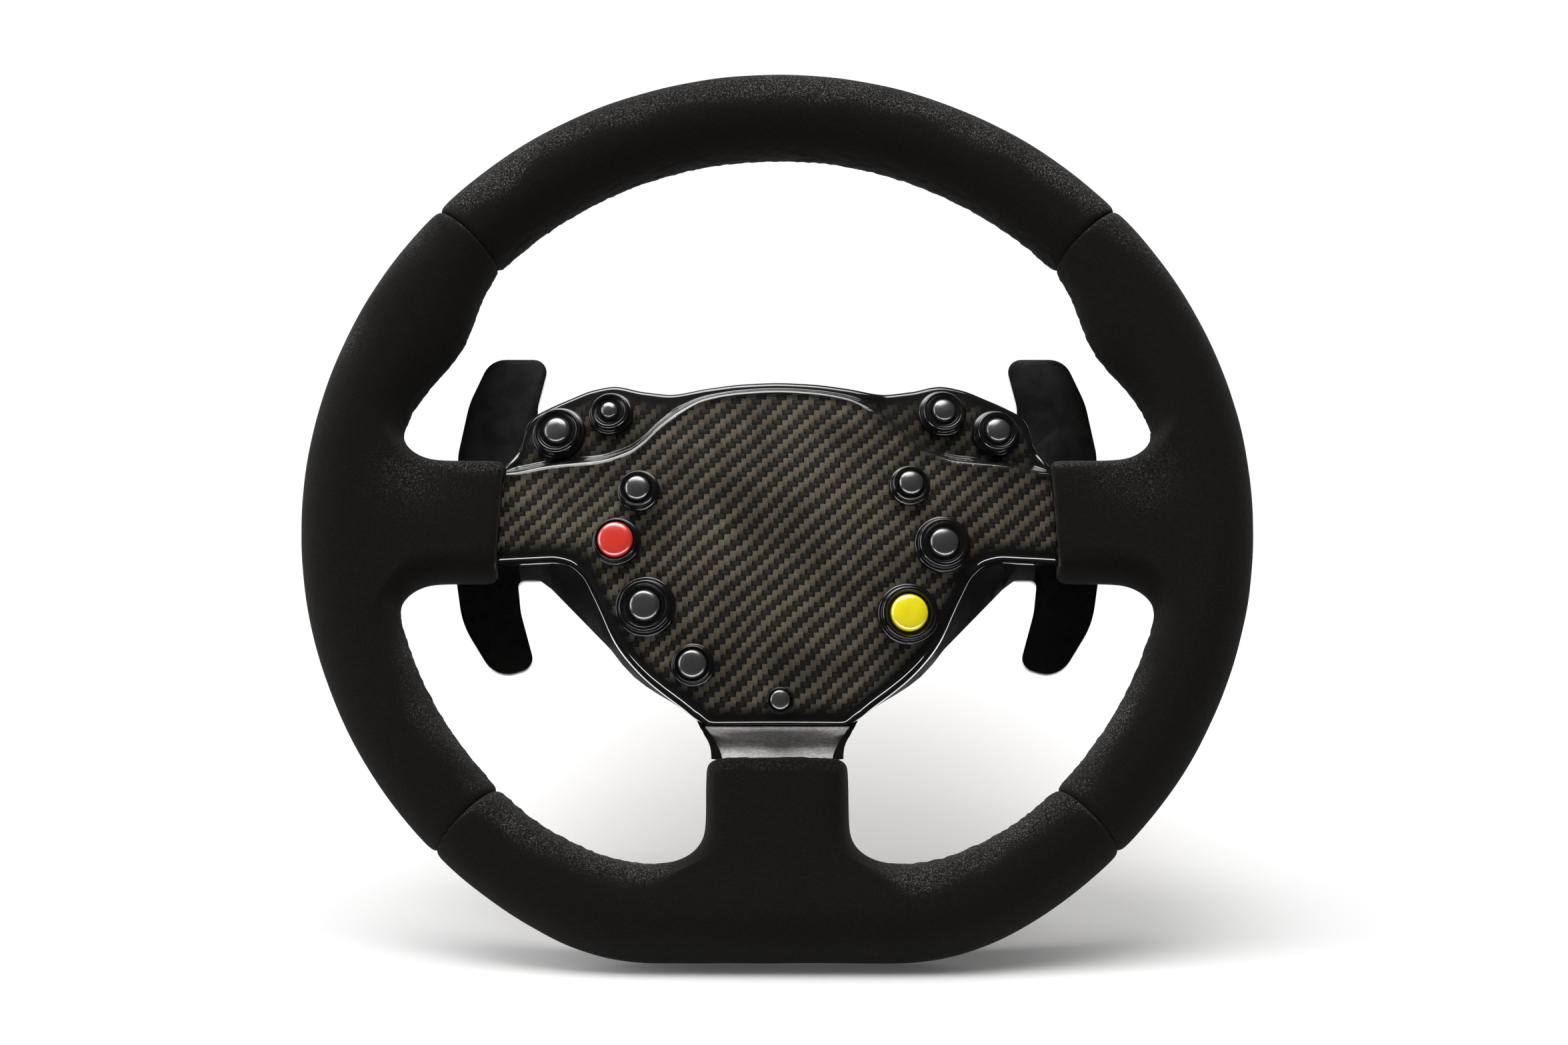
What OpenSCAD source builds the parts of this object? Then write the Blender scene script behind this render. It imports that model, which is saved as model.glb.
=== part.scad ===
// Car steering wheel with a suede rim, a carbon fascia, twelve push buttons and two shift paddles.
// X runs to the driver's right, Z up along the face and Y away from the driver.
// The origin is the centre of the rear mounting face of the hub, on the steering axis.

/* [Rim] */
// Outer radius of the rim
rim_r = 160; // [154:1:175]
// Width of the rim across the face
tube_w = 30; // [28:0.5:33]
// Depth of the rim from front to back
tube_depth = 31; // [29:0.5:34]
// How much the flat bottom takes off the full circle
flat_cut = 10; // [7:0.5:14]
// Radius of the lower corners, at the outside of the rim
corner_r = 70; // [60:1:75]
// Extra width at the bottom of the rim
bottom_extra = 3.2; // [0:0.1:5]
// Extra width at the thumb grips
grip_extra = 7.4; // [0:0.1:9]
// Angle of the middle of the thumb grips above the spokes
grip_angle = 29.5; // [27:0.5:32]
// Angle of the upper seams above the spokes
seam_up = 43.5; // [41:0.5:50]
// Angle of the lower seams below the spokes
seam_low = 45; // [38:0.5:50]
// Gap between two covers at a seam
seam_gap = 0.5; // [0.3:0.1:1]
// Inward turn of the covers at their hems
hem_turn = 1.4; // [0.6:0.1:1.8]
// Diameter of the foam inside the covers
foam_d = 23; // [22:0.5:24]
// Diameter of the metal ring inside the foam
ring_d = 10; // [8:0.5:12]

/* [Spokes] */
// Distance from the axis to the inner ends of the side sleeves
sleeve_end = 92; // [91:0.5:95]
// Height of the side sleeves
sleeve_h = 41.6; // [40:0.2:44]
// Depth of the sleeves
sleeve_depth = 24; // [23:0.5:26]
// Distance from the axis to the inner end of the bottom sleeve
drop_end = 83.5; // [82:0.5:87]
// Width of the bottom sleeve
drop_w = 47; // [45:0.5:50]
// Height of the joint between the side sleeves and the rim, fillets included
joint_h = 76; // [72:1:80]
// Width of the joint between the bottom sleeve and the rim, fillets included
joint_w = 84; // [78:1:90]
// Height of the metal arms
arm_h = 26; // [20:0.5:28]
// Thickness of the metal arms and of the hub plate
arm_t = 4; // [3:0.5:5]
// Cover thickness around the foam of the sleeves
sleeve_wall = 3.2; // [2.5:0.1:3.6]

/* [Fascia] */
// Height of the fascia's middle in front of the rim's middle plane
dome_h = 16.7; // [15.5:0.1:18]
// Radius of the fascia's dome
dome_r = 385; // [365:5:450]
// Depth of the step down to the upper wings
wing_step = 4; // [2.5:0.1:4.5]
// Radius of the fascia's rolled edges
roll_r = 3.5; // [3:0.1:4]
// Thickness of the fascia's shell
shell_t = 1.8; // [1.5:0.1:2]
// Gap between the fascia and the sleeves
arm_gap = 0.5; // [0.3:0.1:1]
// Height of the top of the fascia above the axis
fascia_top = 46.4; // [45.5:0.1:48]
// Distance from the axis down to the lower end of the fascia
fascia_drop = 72; // [71:0.1:73]

/* [Buttons] */
// Travel of the small buttons
press_small = 1.5; // [1:0.1:1.6]
// Travel of the large buttons
press_large = 2; // [1.5:0.1:2.2]
// Clearance between a cap and its collar
cap_gap = 0.3; // [0.2:0.05:0.4]
// Height of the collars above the fascia
collar_h = 4.4; // [4:0.1:5]
// Height of the caps above their collars
cap_rise = 1.8; // [1.6:0.1:2.4]
// Width of the switches on the circuit board
switch_w = 6; // [5:0.1:6.2]

/* [Paddles] */
// Distance of the paddle blades behind the rim's middle plane
blade_y = 20; // [19:0.5:22]
// Thickness of the paddle blades
blade_t = 3; // [2.5:0.5:3.5]
// Distance from the side of the hub to the paddle hinges
hinge_gap = 16.5; // [15:0.5:17.5]
// Diameter of the hinge pins
pin_d = 4; // [3:0.5:5]
// Clearance of the pins in the knuckles, on the radius
pin_fit = 0.05; // [0.02:0.01:0.1]
// Diameter of the hinge knuckles
knuckle_d = 8; // [7.5:0.5:9]

/* [Housing and hub] */
// Distance of the housing's back face behind the rim's middle plane
back_y = 14; // [14:0.5:15]
// Thickness of the housing's walls
wall_t = 2; // [1.6:0.1:2.2]
// Radius of the housing's rounded back edge
back_r = 3; // [2:0.5:4]
// Distance of the hub's mounting face behind the rim's middle plane
hub_y = 36; // [33:1:60]
// Diameter of the hub spacer
hub_d = 83; // [81:0.5:84]
// Diameter of the hub's centre bore
bore_d = 32; // [28:1:36]
// Diameter of the circle that the mounting holes lie on
bolt_circle = 70; // [68:0.5:72]
// Diameter of the mounting holes
bolt_d = 4.2; // [4:0.1:5.5]
// Depth of the mounting holes
bolt_deep = 16; // [10:1:18]
// Number of mounting holes
bolt_count = 6; // [6:6:6]
// Distance of the circuit board's back face behind the rim's middle plane
board_y = 1.6; // [1.6:0.1:2]
// Thickness of the circuit board
board_t = 1.6; // [1:0.1:1.6]

/* [Hidden] */
BUTTONS = ["1", "2", "3", "4", "5", "6", "7", "8", "9", "10", "11", "12"];

// Clearance between pieces that touch along curved faces
seat = 0.3;
// Small overlap that makes a cut run clean through
cut = 1;

// Helpers
function dir(a) = [cos(a), sin(a)];
function unit(v) = v / norm(v);
function mix(a, b, t) = a + (b - a) * t;
function clamp(v, low, high) = min(max(v, low), high);
function ease(t) = let (u = clamp(t, 0, 1)) u * u * (3 - 2 * u);
function bump(t) = abs(t) >= 1 ? 0 : pow(cos(90 * t), 2);
function spread(a, b, n) = [for (i = [0:n]) mix(a, b, i / n)];
function bezier(a, b, c, d, t) = let (u = 1 - t)
    u * u * u * a + 3 * u * u * t * b + 3 * u * t * t * c + t * t * t * d;

// Places the children, drawn about the rim's middle plane, in the hub's frame
module at_hub() translate([0, -hub_y, 0]) children();
// A flat piece of the outline below it, from y0 to y1
module slab(y0, y1) translate([0, y1, 0]) rotate([90, 0, 0]) linear_extrude(y1 - y0) children();
// A rod along Y
module rod(y0, y1, r, fn = 48) translate([0, y0, 0]) rotate([-90, 0, 0])
    cylinder(h = y1 - y0, r = r, $fn = fn);

// Smooth curve through knots of [x, value], with x rising from the middle of the wheel
function rise(k, i) = (k[i + 1][1] - k[i][1]) / (k[i + 1][0] - k[i][0]);
function slope_at(k, i) = i == 0 ? 0 : i == len(k) - 1 ? rise(k, i - 1)
    : let (a = rise(k, i - 1), b = rise(k, i)) a * b <= 0 ? 0 : 2 * a * b / (a + b);
function piece_of(k, x) = let (below = [for (i = [0:len(k) - 2]) if (k[i][0] <= x) i]) max(concat([0], below));
function curve(k, x) = let (i = piece_of(k, x), w = k[i + 1][0] - k[i][0], t = (x - k[i][0]) / w)
    bezier(k[i][1], k[i][1] + slope_at(k, i) * w / 3,
        k[i + 1][1] - slope_at(k, i + 1) * w / 3, k[i + 1][1], t);

// Outline from corner points of [x, z, radius], with every corner rounded
function corner(a, b, c, r, n) = let (u = unit(a - b), v = unit(c - b), half = acos(clamp(u * v, -1, 1)) / 2,
    m = b + unit(u + v) * r / sin(half), from = b + u * r / tan(half) - m, to = b + v * r / tan(half) - m,
    a0 = atan2(from[1], from[0]), turn = atan2(to[1], to[0]) - a0,
    sweep = turn > 180 ? turn - 360 : turn < -180 ? turn + 360 : turn)
    [for (i = [0:n]) m + r * dir(a0 + sweep * i / n)];
function rounded(p, n = 6) = [for (i = [0:len(p) - 1])
    let (q = len(p), a = p[(i + q - 1) % q], b = p[i], c = p[(i + 1) % q])
    each corner([a[0], a[1]], [b[0], b[1]], [c[0], c[1]], b[2], n)];

// Rim: the centre line of the tube, as a circle with a flat bottom
tube_r = tube_w / 2;
flat_drop = rim_r - flat_cut;
line_r = rim_r - tube_r;
line_flat = flat_drop - tube_r;
line_corner = corner_r - tube_r;
corner_z = line_corner - line_flat;
corner_x = sqrt(pow(line_r - line_corner, 2) - pow(corner_z, 2));
corner_a = atan2(corner_z, corner_x);
corner_run = line_corner * (90 + corner_a) * PI / 180;
// Run along the centre line, from the middle of the flat to an angle on the right
function run_of(a) = corner_x + corner_run + line_r * (a - corner_a) * PI / 180;
// Place and outward direction on the centre line at a run
function rim_at(s) = let (m = abs(s), side = s < 0 ? -1 : 1,
    a = m <= corner_x ? -90 : m <= corner_x + corner_run ? -90 + (m - corner_x) / line_corner * 180 / PI
        : corner_a + (m - corner_x - corner_run) / line_r * 180 / PI,
    c = m <= corner_x ? [m, -line_flat] : m <= corner_x + corner_run ? [corner_x, corner_z] + line_corner * dir(a)
        : line_r * dir(a))
    [side * c[0], c[1], side > 0 ? a : 180 - a];
// Reach of the tube towards the axis, with the thumb grips and the wider bottom
grip_span = 14;
wide_from = 45;
wide_to = 95;
function reach_in(s) = let (p = rim_at(s), a = atan2(p[1], abs(p[0])))
    tube_r + grip_extra * bump((a - grip_angle) / grip_span)
    + bottom_extra * (p[1] < 0 ? 1 - ease((abs(p[0]) - wide_from) / (wide_to - wide_from)) : 0);
// One section of the tube: around points from the outside over the back, drawn in by a turn
around = 16;
function section(s, turn) = let (p = rim_at(s), d = dir(p[2]))
    [for (j = [0:around - 1]) let (f = 360 * j / around,
        o = cos(f) >= 0 ? (tube_r - turn) * cos(f) : (reach_in(s) - turn) * cos(f))
        [p[0] + d[0] * o, (tube_depth / 2 - turn) * sin(f), p[1] + d[1] * o]];

// Lofts: rings of equal length joined one to the next, with flat ends
function fan(ids, m) = [for (k = [0:len(ids) - 1]) [ids[k], ids[(k + 1) % len(ids)], m]];
function ring_ids(i, n) = [for (k = [0:n - 1]) i * n + k];
function turned(list) = [for (k = [len(list) - 1:-1:0]) list[k]];
function band(a, b) = let (n = len(a)) [for (k = [0:n - 1]) let (m = (k + 1) % n)
    each [[a[k], a[m], b[m]], [a[k], b[m], b[k]]]];
module loft(rings) {
    n = len(rings[0]);
    polyhedron(points = [for (r = rings) each r], convexity = 8,
        faces = concat([turned(ring_ids(0, n))],
            [for (i = [0:len(rings) - 2]) each band(ring_ids(i, n), ring_ids(i + 1, n))],
            [ring_ids(len(rings) - 1, n)]));
}

// A bent wall between two sheets of equal rows
module shell(outer, inner) {
    rings = [for (i = [0:len(outer) - 1]) turned(concat(outer[i], turned(inner[i])))];
    n = len(rings[0]);
    last = len(rings) - 1;
    strip = function (i) [for (k = [0:n / 2 - 2]) [i * n + k, i * n + n - 1 - k, i * n + n - 2 - k, i * n + k + 1]];
    polyhedron(points = [for (r = rings) each r], convexity = 8,
        faces = concat([for (q = strip(0)) each [[q[0], q[1], q[2]], [q[0], q[2], q[3]]]],
            [for (i = [0:last - 1]) each band(ring_ids(i, n), ring_ids(i + 1, n))],
            [for (q = strip(last)) each [[q[0], q[2], q[1]], [q[0], q[3], q[2]]]]));
}

// Stations of a cover between two runs, with a hem at each end
hem_run = 2.6;
function hems(a, b, inner) = concat([[a, hem_turn], [a + hem_run * 0.25, hem_turn * 0.35]],
    [for (s = inner) [s, 0]], [[b - hem_run * 0.25, hem_turn * 0.35], [b, hem_turn]]);
function cover_rings(stations) = [for (q = stations) section(q[0], q[1])];

// A cover with a sleeve: the side of the tube that faces the axis is left open
// between two stations, and rings run from its edge to the sleeve's end.
first_j = 5;
last_j = 11;
// The same loop one step further out, which gives the slope of the tube around the opening
function outer_loop(i1, i2) = concat([for (i = [i1:i2 - 1]) (i == i1 ? i - 1 : i) * around + first_j - 1],
    [for (j = [first_j:last_j - 1]) (i2 + 1) * around + (j == first_j ? j - 1 : j)],
    [for (i = [i2:-1:i1 + 1]) (i == i2 ? i + 1 : i) * around + last_j + 1],
    [for (j = [last_j:-1:first_j + 1]) (i1 - 1) * around + (j == last_j ? j + 1 : j)]);
function patch_loop(i1, i2) = concat([for (i = [i1:i2 - 1]) i * around + first_j],
    [for (j = [first_j:last_j - 1]) i2 * around + j],
    [for (i = [i2:-1:i1 + 1]) i * around + last_j],
    [for (j = [last_j:-1:first_j + 1]) i1 * around + j]);
// Rounded section of a sleeve as [across, depth], matched to the loop around the opening
sleeve_round = 7;
function sleeve_section(n1, n2, half, deep, turn) = let (d = deep - turn, flat = half - turn - sleeve_round)
    concat([for (k = [0:n1 - 1]) [mix(-flat, flat, k / n1), d]],
        [for (k = [0:n2 - 1]) let (a = 90 - 180 * k / n2) [flat + sleeve_round * pow(cos(a), 0.8), d * sin(a)]],
        [for (k = [0:n1 - 1]) [mix(flat, -flat, k / n1), -d]],
        [for (k = [0:n2 - 1]) let (a = -90 - 180 * k / n2) [-flat - sleeve_round * pow(-cos(a), 0.8), d * sin(a)]]);
// Rings of a sleeve, from the edge of the opening to the hem, where way points from the rim to the axis
// and across points along rising runs
function sleeve_rings(loop, wide, pts, n1, n2, half, way, across, start, end) = let (
    full = sleeve_section(n1, n2, half, sleeve_depth / 2, 0),
    hem = sleeve_section(n1, n2, half, sleeve_depth / 2, hem_turn),
    near = sleeve_section(n1, n2, half, sleeve_depth / 2, hem_turn * 0.35),
    place = function (q, dist) [across[0] * q[0] - way[0] * dist, q[1], across[1] * q[0] - way[1] * dist],
    towards = [way[0], 0, way[1]])
    concat([for (t = [1 / 6:1 / 6:1.01]) [for (k = [0:len(loop) - 1]) let (
            p0 = pts[loop[k]], p3 = place(full[k], start), away = norm(p3 - p0))
            bezier(p0, p0 + unit(p0 - pts[wide[k]]) * away * 0.4, p3 - towards * away * 0.45, p3, min(t, 1))]],
        [[for (q = full) place(q, mix(end, start, 1 / 2))], [for (q = full) place(q, mix(end, start, 1 / 8))],
            [for (q = near) place(q, mix(end, start, 1 / 32))], [for (q = hem) place(q, end)]]);
// How much of the way from a sleeve's end to the rim is straight
side_part = 0.54;
drop_part = 0.61;
module branched(stations, i1, i2, half, way, across, start, end) {
    tube = [for (r = cover_rings(stations)) each r];
    rows = len(stations);
    loop = patch_loop(i1, i2);
    n = len(loop);
    n1 = i2 - i1;
    n2 = last_j - first_j;
    arm = sleeve_rings(loop, outer_loop(i1, i2), tube, n1, n2, half, way, across, start, end);
    base = len(tube);
    arm_ids = [for (r = [0:len(arm) - 1]) [for (k = [0:n - 1]) base + r * n + k]];
    inside = function (i, j) i >= i1 && i < i2 && j >= first_j && j < last_j;
    tip = [-way[0] * end, 0, -way[1] * end];
    polyhedron(points = concat(tube, [for (r = arm) each r], [tip]), convexity = 8,
        faces = concat([turned(ring_ids(0, around))],
            [for (i = [0:rows - 2]) for (j = [0:around - 1]) if (!inside(i, j)) let (m = (j + 1) % around,
                a = i * around + j, b = i * around + m, c = (i + 1) * around + m, d = (i + 1) * around + j)
                each [[a, b, c], [a, c, d]]],
            [ring_ids(rows - 1, around)],
            band(turned(loop), turned(arm_ids[0])),
            [for (r = [0:len(arm) - 2]) each band(turned(arm_ids[r]), turned(arm_ids[r + 1]))],
            fan(turned(arm_ids[len(arm) - 1]), base + len(arm) * n)));
}

// Foam and metal inside the rim
module bent(radius, r, turn) rotate_extrude(angle = turn, $fn = 180) translate([radius, 0]) circle(r = r, $fn = 72);
module upper_path(r) rotate([90, 0, 0]) rotate([0, 0, corner_a]) bent(line_r, r, 180 - 2 * corner_a);
// The whole path, with a slight collar over each joint of its pieces
module ring_path(r) {
    collar_w = 3;
    over = 0.1;
    upper_path(r);
    for (side = [0, 1]) mirror([side, 0, 0]) {
        translate([corner_x, 0, corner_z]) rotate([90, 0, 0]) rotate([0, 0, -90])
            bent(line_corner, r, 90 + corner_a);
        rotate([0, -corner_a, 0]) translate([line_r, 0, -collar_w / 2])
            cylinder(h = collar_w, r = r + over, $fn = 72);
        translate([corner_x - collar_w / 2, 0, -line_flat]) rotate([0, 90, 0])
            cylinder(h = collar_w, r = r + over, $fn = 72);
    }
    translate([-corner_x, 0, -line_flat]) rotate([0, 90, 0]) cylinder(h = 2 * corner_x, r = r, $fn = 72);
}
foam_r = foam_d / 2;
foam_h = sleeve_h - 2 * (sleeve_wall + seat);
foam_w = drop_w - 2 * (sleeve_wall + seat) - sleeve_round / 5;
foam_depth = sleeve_depth - 2 * (sleeve_wall + seat);
foam_short = 2;
// Foam around an arm, as a block that runs into the foam of the rim
module side_foam(grow) translate([(sleeve_end + foam_short + line_r) / 2, 0, 0])
    cube([line_r - sleeve_end - foam_short + 2 * grow, foam_depth + 2 * grow, foam_h + 2 * grow], center = true);
module low_foam(grow) translate([0, 0, -(drop_end + foam_short + line_flat) / 2])
    cube([foam_w + 2 * grow, foam_depth + 2 * grow, line_flat - drop_end - foam_short + 2 * grow], center = true);
// Slot in the end of a sleeve, where the arm comes out
slot = [arm_h + 1, arm_t + 1, 12];

// Covers
module suede() color([0.1, 0.1, 0.1]) children();
module cover_top() at_hub() suede() difference() {
    from = run_of(seam_up) + seam_gap / 2;
    to = run_of(180 - seam_up) - seam_gap / 2;
    loft(cover_rings(hems(from, to, spread(from + hem_run, to - hem_run, 24))));
    upper_path(foam_r + seat);
}
side_steps = 8;
module cover_side() difference() {
    from = run_of(-seam_low) + seam_gap / 2;
    to = run_of(seam_up) - seam_gap / 2;
    half = asin(joint_h / 2 / line_r);
    lower = spread(from + hem_run, run_of(-half), 7);
    middle = spread(run_of(-half), run_of(half), side_steps);
    upper = spread(run_of(half), to - hem_run, 7);
    inner = concat([for (i = [0:6]) lower[i]], middle, [for (i = [1:7]) upper[i]]);
    branched(hems(from, to, inner), 9, 9 + side_steps, sleeve_h / 2, [-1, 0], [0, 1],
        mix(sleeve_end, line_r - tube_r, side_part), sleeve_end);
    upper_path(foam_r + seat);
    side_foam(seat);
    translate([sleeve_end, 0, 0]) cube([slot[2], slot[1], slot[0]], center = true);
}
module cover_right() at_hub() suede() cover_side();
module cover_left() at_hub() suede() mirror([1, 0, 0]) cover_side();
module cover_bottom() at_hub() suede() difference() {
    end = run_of(-seam_low) - seam_gap / 2;
    left = spread(-end + hem_run, -joint_w / 2, 9);
    middle = spread(-joint_w / 2, joint_w / 2, side_steps);
    right = spread(joint_w / 2, end - hem_run, 9);
    inner = concat([for (i = [0:8]) left[i]], middle, [for (i = [1:9]) right[i]]);
    branched(hems(-end, end, inner), 11, 11 + side_steps, drop_w / 2, [0, 1], [1, 0],
        mix(drop_end, line_flat - tube_r - bottom_extra, drop_part), drop_end);
    ring_path(foam_r + seat);
    low_foam(seat);
    translate([0, 0, -drop_end]) cube([slot[0], slot[1], slot[2]], center = true);
}
module rim_foam() at_hub() color([0.25, 0.24, 0.22]) difference() {
    union() {
        ring_path(foam_r);
        for (side = [0, 1]) mirror([side, 0, 0]) side_foam(0);
        low_foam(0);
    }
    ring_path(ring_d / 2 + seat);
    arms();
}

// Metal frame: a ring, three arms that step back behind the board, and a hub plate
plate_y = back_y - wall_t - 2 - arm_t;
step_from = 66;
step_to = 84;
drop_from = 62;
drop_to = 80;
hub_plate_r = hub_d / 2 + 0.5;
module arm_profile(from, to, end) polygon([[0, plate_y], [from, plate_y], [to, -arm_t / 2], [end, -arm_t / 2],
    [end, arm_t / 2], [to + 1, arm_t / 2], [from + 1, plate_y + arm_t], [0, plate_y + arm_t]]);
module arms() {
    for (side = [0, 1]) mirror([side, 0, 0]) translate([0, 0, -arm_h / 2]) linear_extrude(arm_h)
        arm_profile(step_from, step_to, line_r);
    translate([-arm_h / 2, 0, 0]) rotate([0, 90, 0]) linear_extrude(arm_h)
        arm_profile(drop_from, drop_to, line_flat);
}
lug_r = 6;
lugs = [(hub_d / 2 + lug_r + 5.6) * dir(19.8), (hub_d / 2 + lug_r + 3.4) * dir(-45)];
module rim_frame() at_hub() color([0.6, 0.61, 0.63]) difference() {
    union() {
        ring_path(ring_d / 2);
        arms();
        rod(plate_y, plate_y + arm_t, hub_plate_r, 96);
        for (side = [-1, 1]) for (p = lugs) hull() {
            translate([side * p[0], 0, p[1]]) rod(plate_y, plate_y + arm_t, lug_r, 32);
            rod(plate_y, plate_y + arm_t, lug_r, 32);
        }
    }
    rod(plate_y - cut, plate_y + arm_t + cut, bore_d / 2, 72);
    hub_screw_places() rod(plate_y - cut, plate_y + arm_t + cut, hub_screw_r + 0.2, 32);
    lug_places() rod(plate_y - cut, plate_y + arm_t + cut, screw_r, 24);
}
module lug_places() for (side = [-1, 1]) for (p = lugs) translate([side * p[0], 0, p[1]]) children();

// Outlines of the fascia, as fractions of its half width, against heights in millimetres
half_w = sleeve_end - arm_gap;
top_knots = [for (k = [[0, -0.5], [0.13, -1], [0.25, -2.3], [0.37, -3.8], [0.49, -2.4], [0.605, 0], [0.68, -1],
    [0.765, -3.8], [0.852, -7.2], [0.902, -9.8], [0.929, -13.4], [0.94, -18.4], [0.962, -22.9], [1, -27.1]])
    [k[0] * half_w, fascia_top + k[1]]];
ridge_knots = [for (k = [[0, -4.1], [0.126, -4.7], [0.257, -6.6], [0.355, -10.6], [0.437, -16.3], [0.492, -21.3],
    [0.546, -24.7], [0.656, -27.5], [0.831, -28.4], [1, -30.6]]) [k[0] * half_w, fascia_top + k[1]]];
low_knots = [for (k = [[0, 0], [0.24, 0], [0.3, 3], [0.34, 6], [0.426, 12], [0.475, 15.8], [0.53, 21], [0.574, 26.2],
    [0.61, 32], [0.639, 38], [0.672, 44.5], [0.71, 51], [0.765, 55.2], [0.831, 56.5], [1, 56.5]])
    [k[0] * half_w, k[1] - fascia_drop]];
function top_z(x) = curve(top_knots, abs(x));
function ridge_z(x) = curve(ridge_knots, abs(x));
function low_z(x) = curve(low_knots, abs(x));
// How much longer an upright step must be to stay square to a sloping edge
function lean(k, x) = let (s = (curve(k, min(abs(x) + 0.4, half_w)) - curve(k, max(abs(x) - 0.4, 0))) / 0.8)
    min(sqrt(1 + s * s), 2.2);
half_columns = concat(spread(0, 0.874, 20), [0.9, 0.922, 0.935, 0.946, 0.965, 1]);
columns = concat([for (c = turned(half_columns)) -c * half_w],
    [for (i = [1:len(half_columns) - 1]) half_columns[i] * half_w]);
function dome(x, z) = dome_h - (x * x + z * z) / (2 * dome_r);
// Height of the fascia's face, drawn in by a wall for its inside
function face_h(x, z, in) = let (
    up = (top_z(x) - z) / lean(top_knots, x) - in, down = (z - low_z(x)) / lean(low_knots, x) - in,
    r = roll_r - in, d = clamp(min(up, down), 0, r))
    dome(x, z) - in - wing_step * ease((z - ridge_z(x) + in) / 1.4) - (r - sqrt(r * r - (r - d) * (r - d)));
function face_pt(x, z, in) = [x, -face_h(x, z, in), z];
// Heights of the rows at a column: the rolled lower edge, the body, the ridge, the wing and the rolled top
function rows(x, in) = let (a = lean(low_knots, x), b = lean(top_knots, x), f = 1 - in / roll_r,
    low = low_z(x) + in * a, ridge = ridge_z(x) - in, top = top_z(x) - in * b,
    inner = low + (roll_r - in) * a, body = ridge - 1.2, wing = ridge + 1.4, span = top - wing)
    [low, low + 0.3 * f * a, low + 1.2 * f * a, inner, mix(inner, body, 0.33), mix(inner, body, 0.66), body, ridge,
        wing, mix(wing, top, 0.5), top - min(1.6 * f * b, 0.35 * span), top - min(0.4 * f * b, 0.12 * span), top];
// Back edge of the fascia, just behind its rolled edges
lip_d = 1.3;
split = 0.1;
function lip_low(x) = lip_d - face_h(x, low_z(x), 0);
function lip_top(x) = lip_d - face_h(x, top_z(x), 0);
function fascia_wall(x, in) = let (z = rows(x, in), last = len(z) - 1)
    concat([[x, lip_low(x), z[0]]], [for (h = z) face_pt(x, h, in)], [[x, lip_top(x), z[last]]]);
module fascia() at_hub() color([0.2, 0.19, 0.18]) difference() {
    shell([for (x = columns) fascia_wall(x, 0)], [for (x = columns) fascia_wall(x, shell_t)]);
    for (i = [0:len(BUTTONS) - 1]) at_button(i) rod(-cut, shell_t + 3, barrel_r(i) + 0.1);
}

// Buttons: place on the face, diameters of cap, ring and base, and large or small travel
buttons = [
    [-73.3, 29.4, 9, 14.5, 18.4, 0], [-55.8, 35.5, 5.6, 11.8, 15.2, 0], [-46.1, 6.7, 8.4, 11.4, 14.3, 0],
    [-53.3, -10.6, 11.9, 13.6, 16.4, 1], [-43.5, -33, 10.4, 15.6, 20.4, 1], [-27.8, -52.6, 9.6, 11.6, 14.5, 0],
    [55.3, 35.5, 7.8, 12.8, 16.4, 0], [73.3, 29.4, 8.4, 12.5, 16.4, 0], [44, 8.4, 8.2, 11.2, 13.8, 0],
    [54.8, -11.5, 9.8, 15, 19.2, 1], [43.2, -35.4, 12.4, 16.4, 20.6, 1], [0.9, -64.5, 6.7, 7.9, 9.4, 0]];
button_n = len(BUTTONS);
function cap_r(i) = buttons[i][2] / 2;
function ring_r(i) = buttons[i][3] / 2;
function base_r(i) = buttons[i][4] / 2;
function travel(i) = buttons[i][5] == 1 ? press_large : press_small;
function bore_r(i) = cap_r(i) + cap_gap;
function barrel_r(i) = min(bore_r(i) + 1.2, base_r(i) - 0.8);
// Moves the children to a button's seat, with -Y square to the face and away from it
module at_button(i) {
    x = buttons[i][0];
    z = buttons[i][1];
    lift = z > ridge_z(x) ? wing_step : 0;
    translate([x, -dome(x, z) + lift, z]) rotate([-atan(z / dome_r), 0, atan(x / dome_r)]) children();
}
// Depth behind a button's seat at which its switch starts
function seat_depth(i) = let (x = buttons[i][0], z = buttons[i][1])
    dome(x, z) - (z > ridge_z(x) ? wing_step : 0);
switch_h = 3;
barrel_t = shell_t + 0.6;
module collar(i) at_hub() color([0.08, 0.08, 0.09]) at_button(i) rotate([90, 0, 0]) rotate_extrude($fn = 48) {
    low = collar_h * 0.5;
    step = ring_r(i) + (base_r(i) - ring_r(i)) * 0.35;
    polygon([[bore_r(i), -barrel_t], [barrel_r(i), -barrel_t], [barrel_r(i), 0.02], [base_r(i), 0.02],
        [base_r(i), low * 0.5], [base_r(i) - 0.5, low * 0.9], [base_r(i) - 1, low], [step, low],
        [step, collar_h - 0.5], [step - 0.4, collar_h], [mix(bore_r(i), ring_r(i), 0.8), collar_h],
        [mix(bore_r(i), ring_r(i), 0.45), collar_h - 0.9], [bore_r(i), collar_h - 0.6]]);
}
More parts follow.
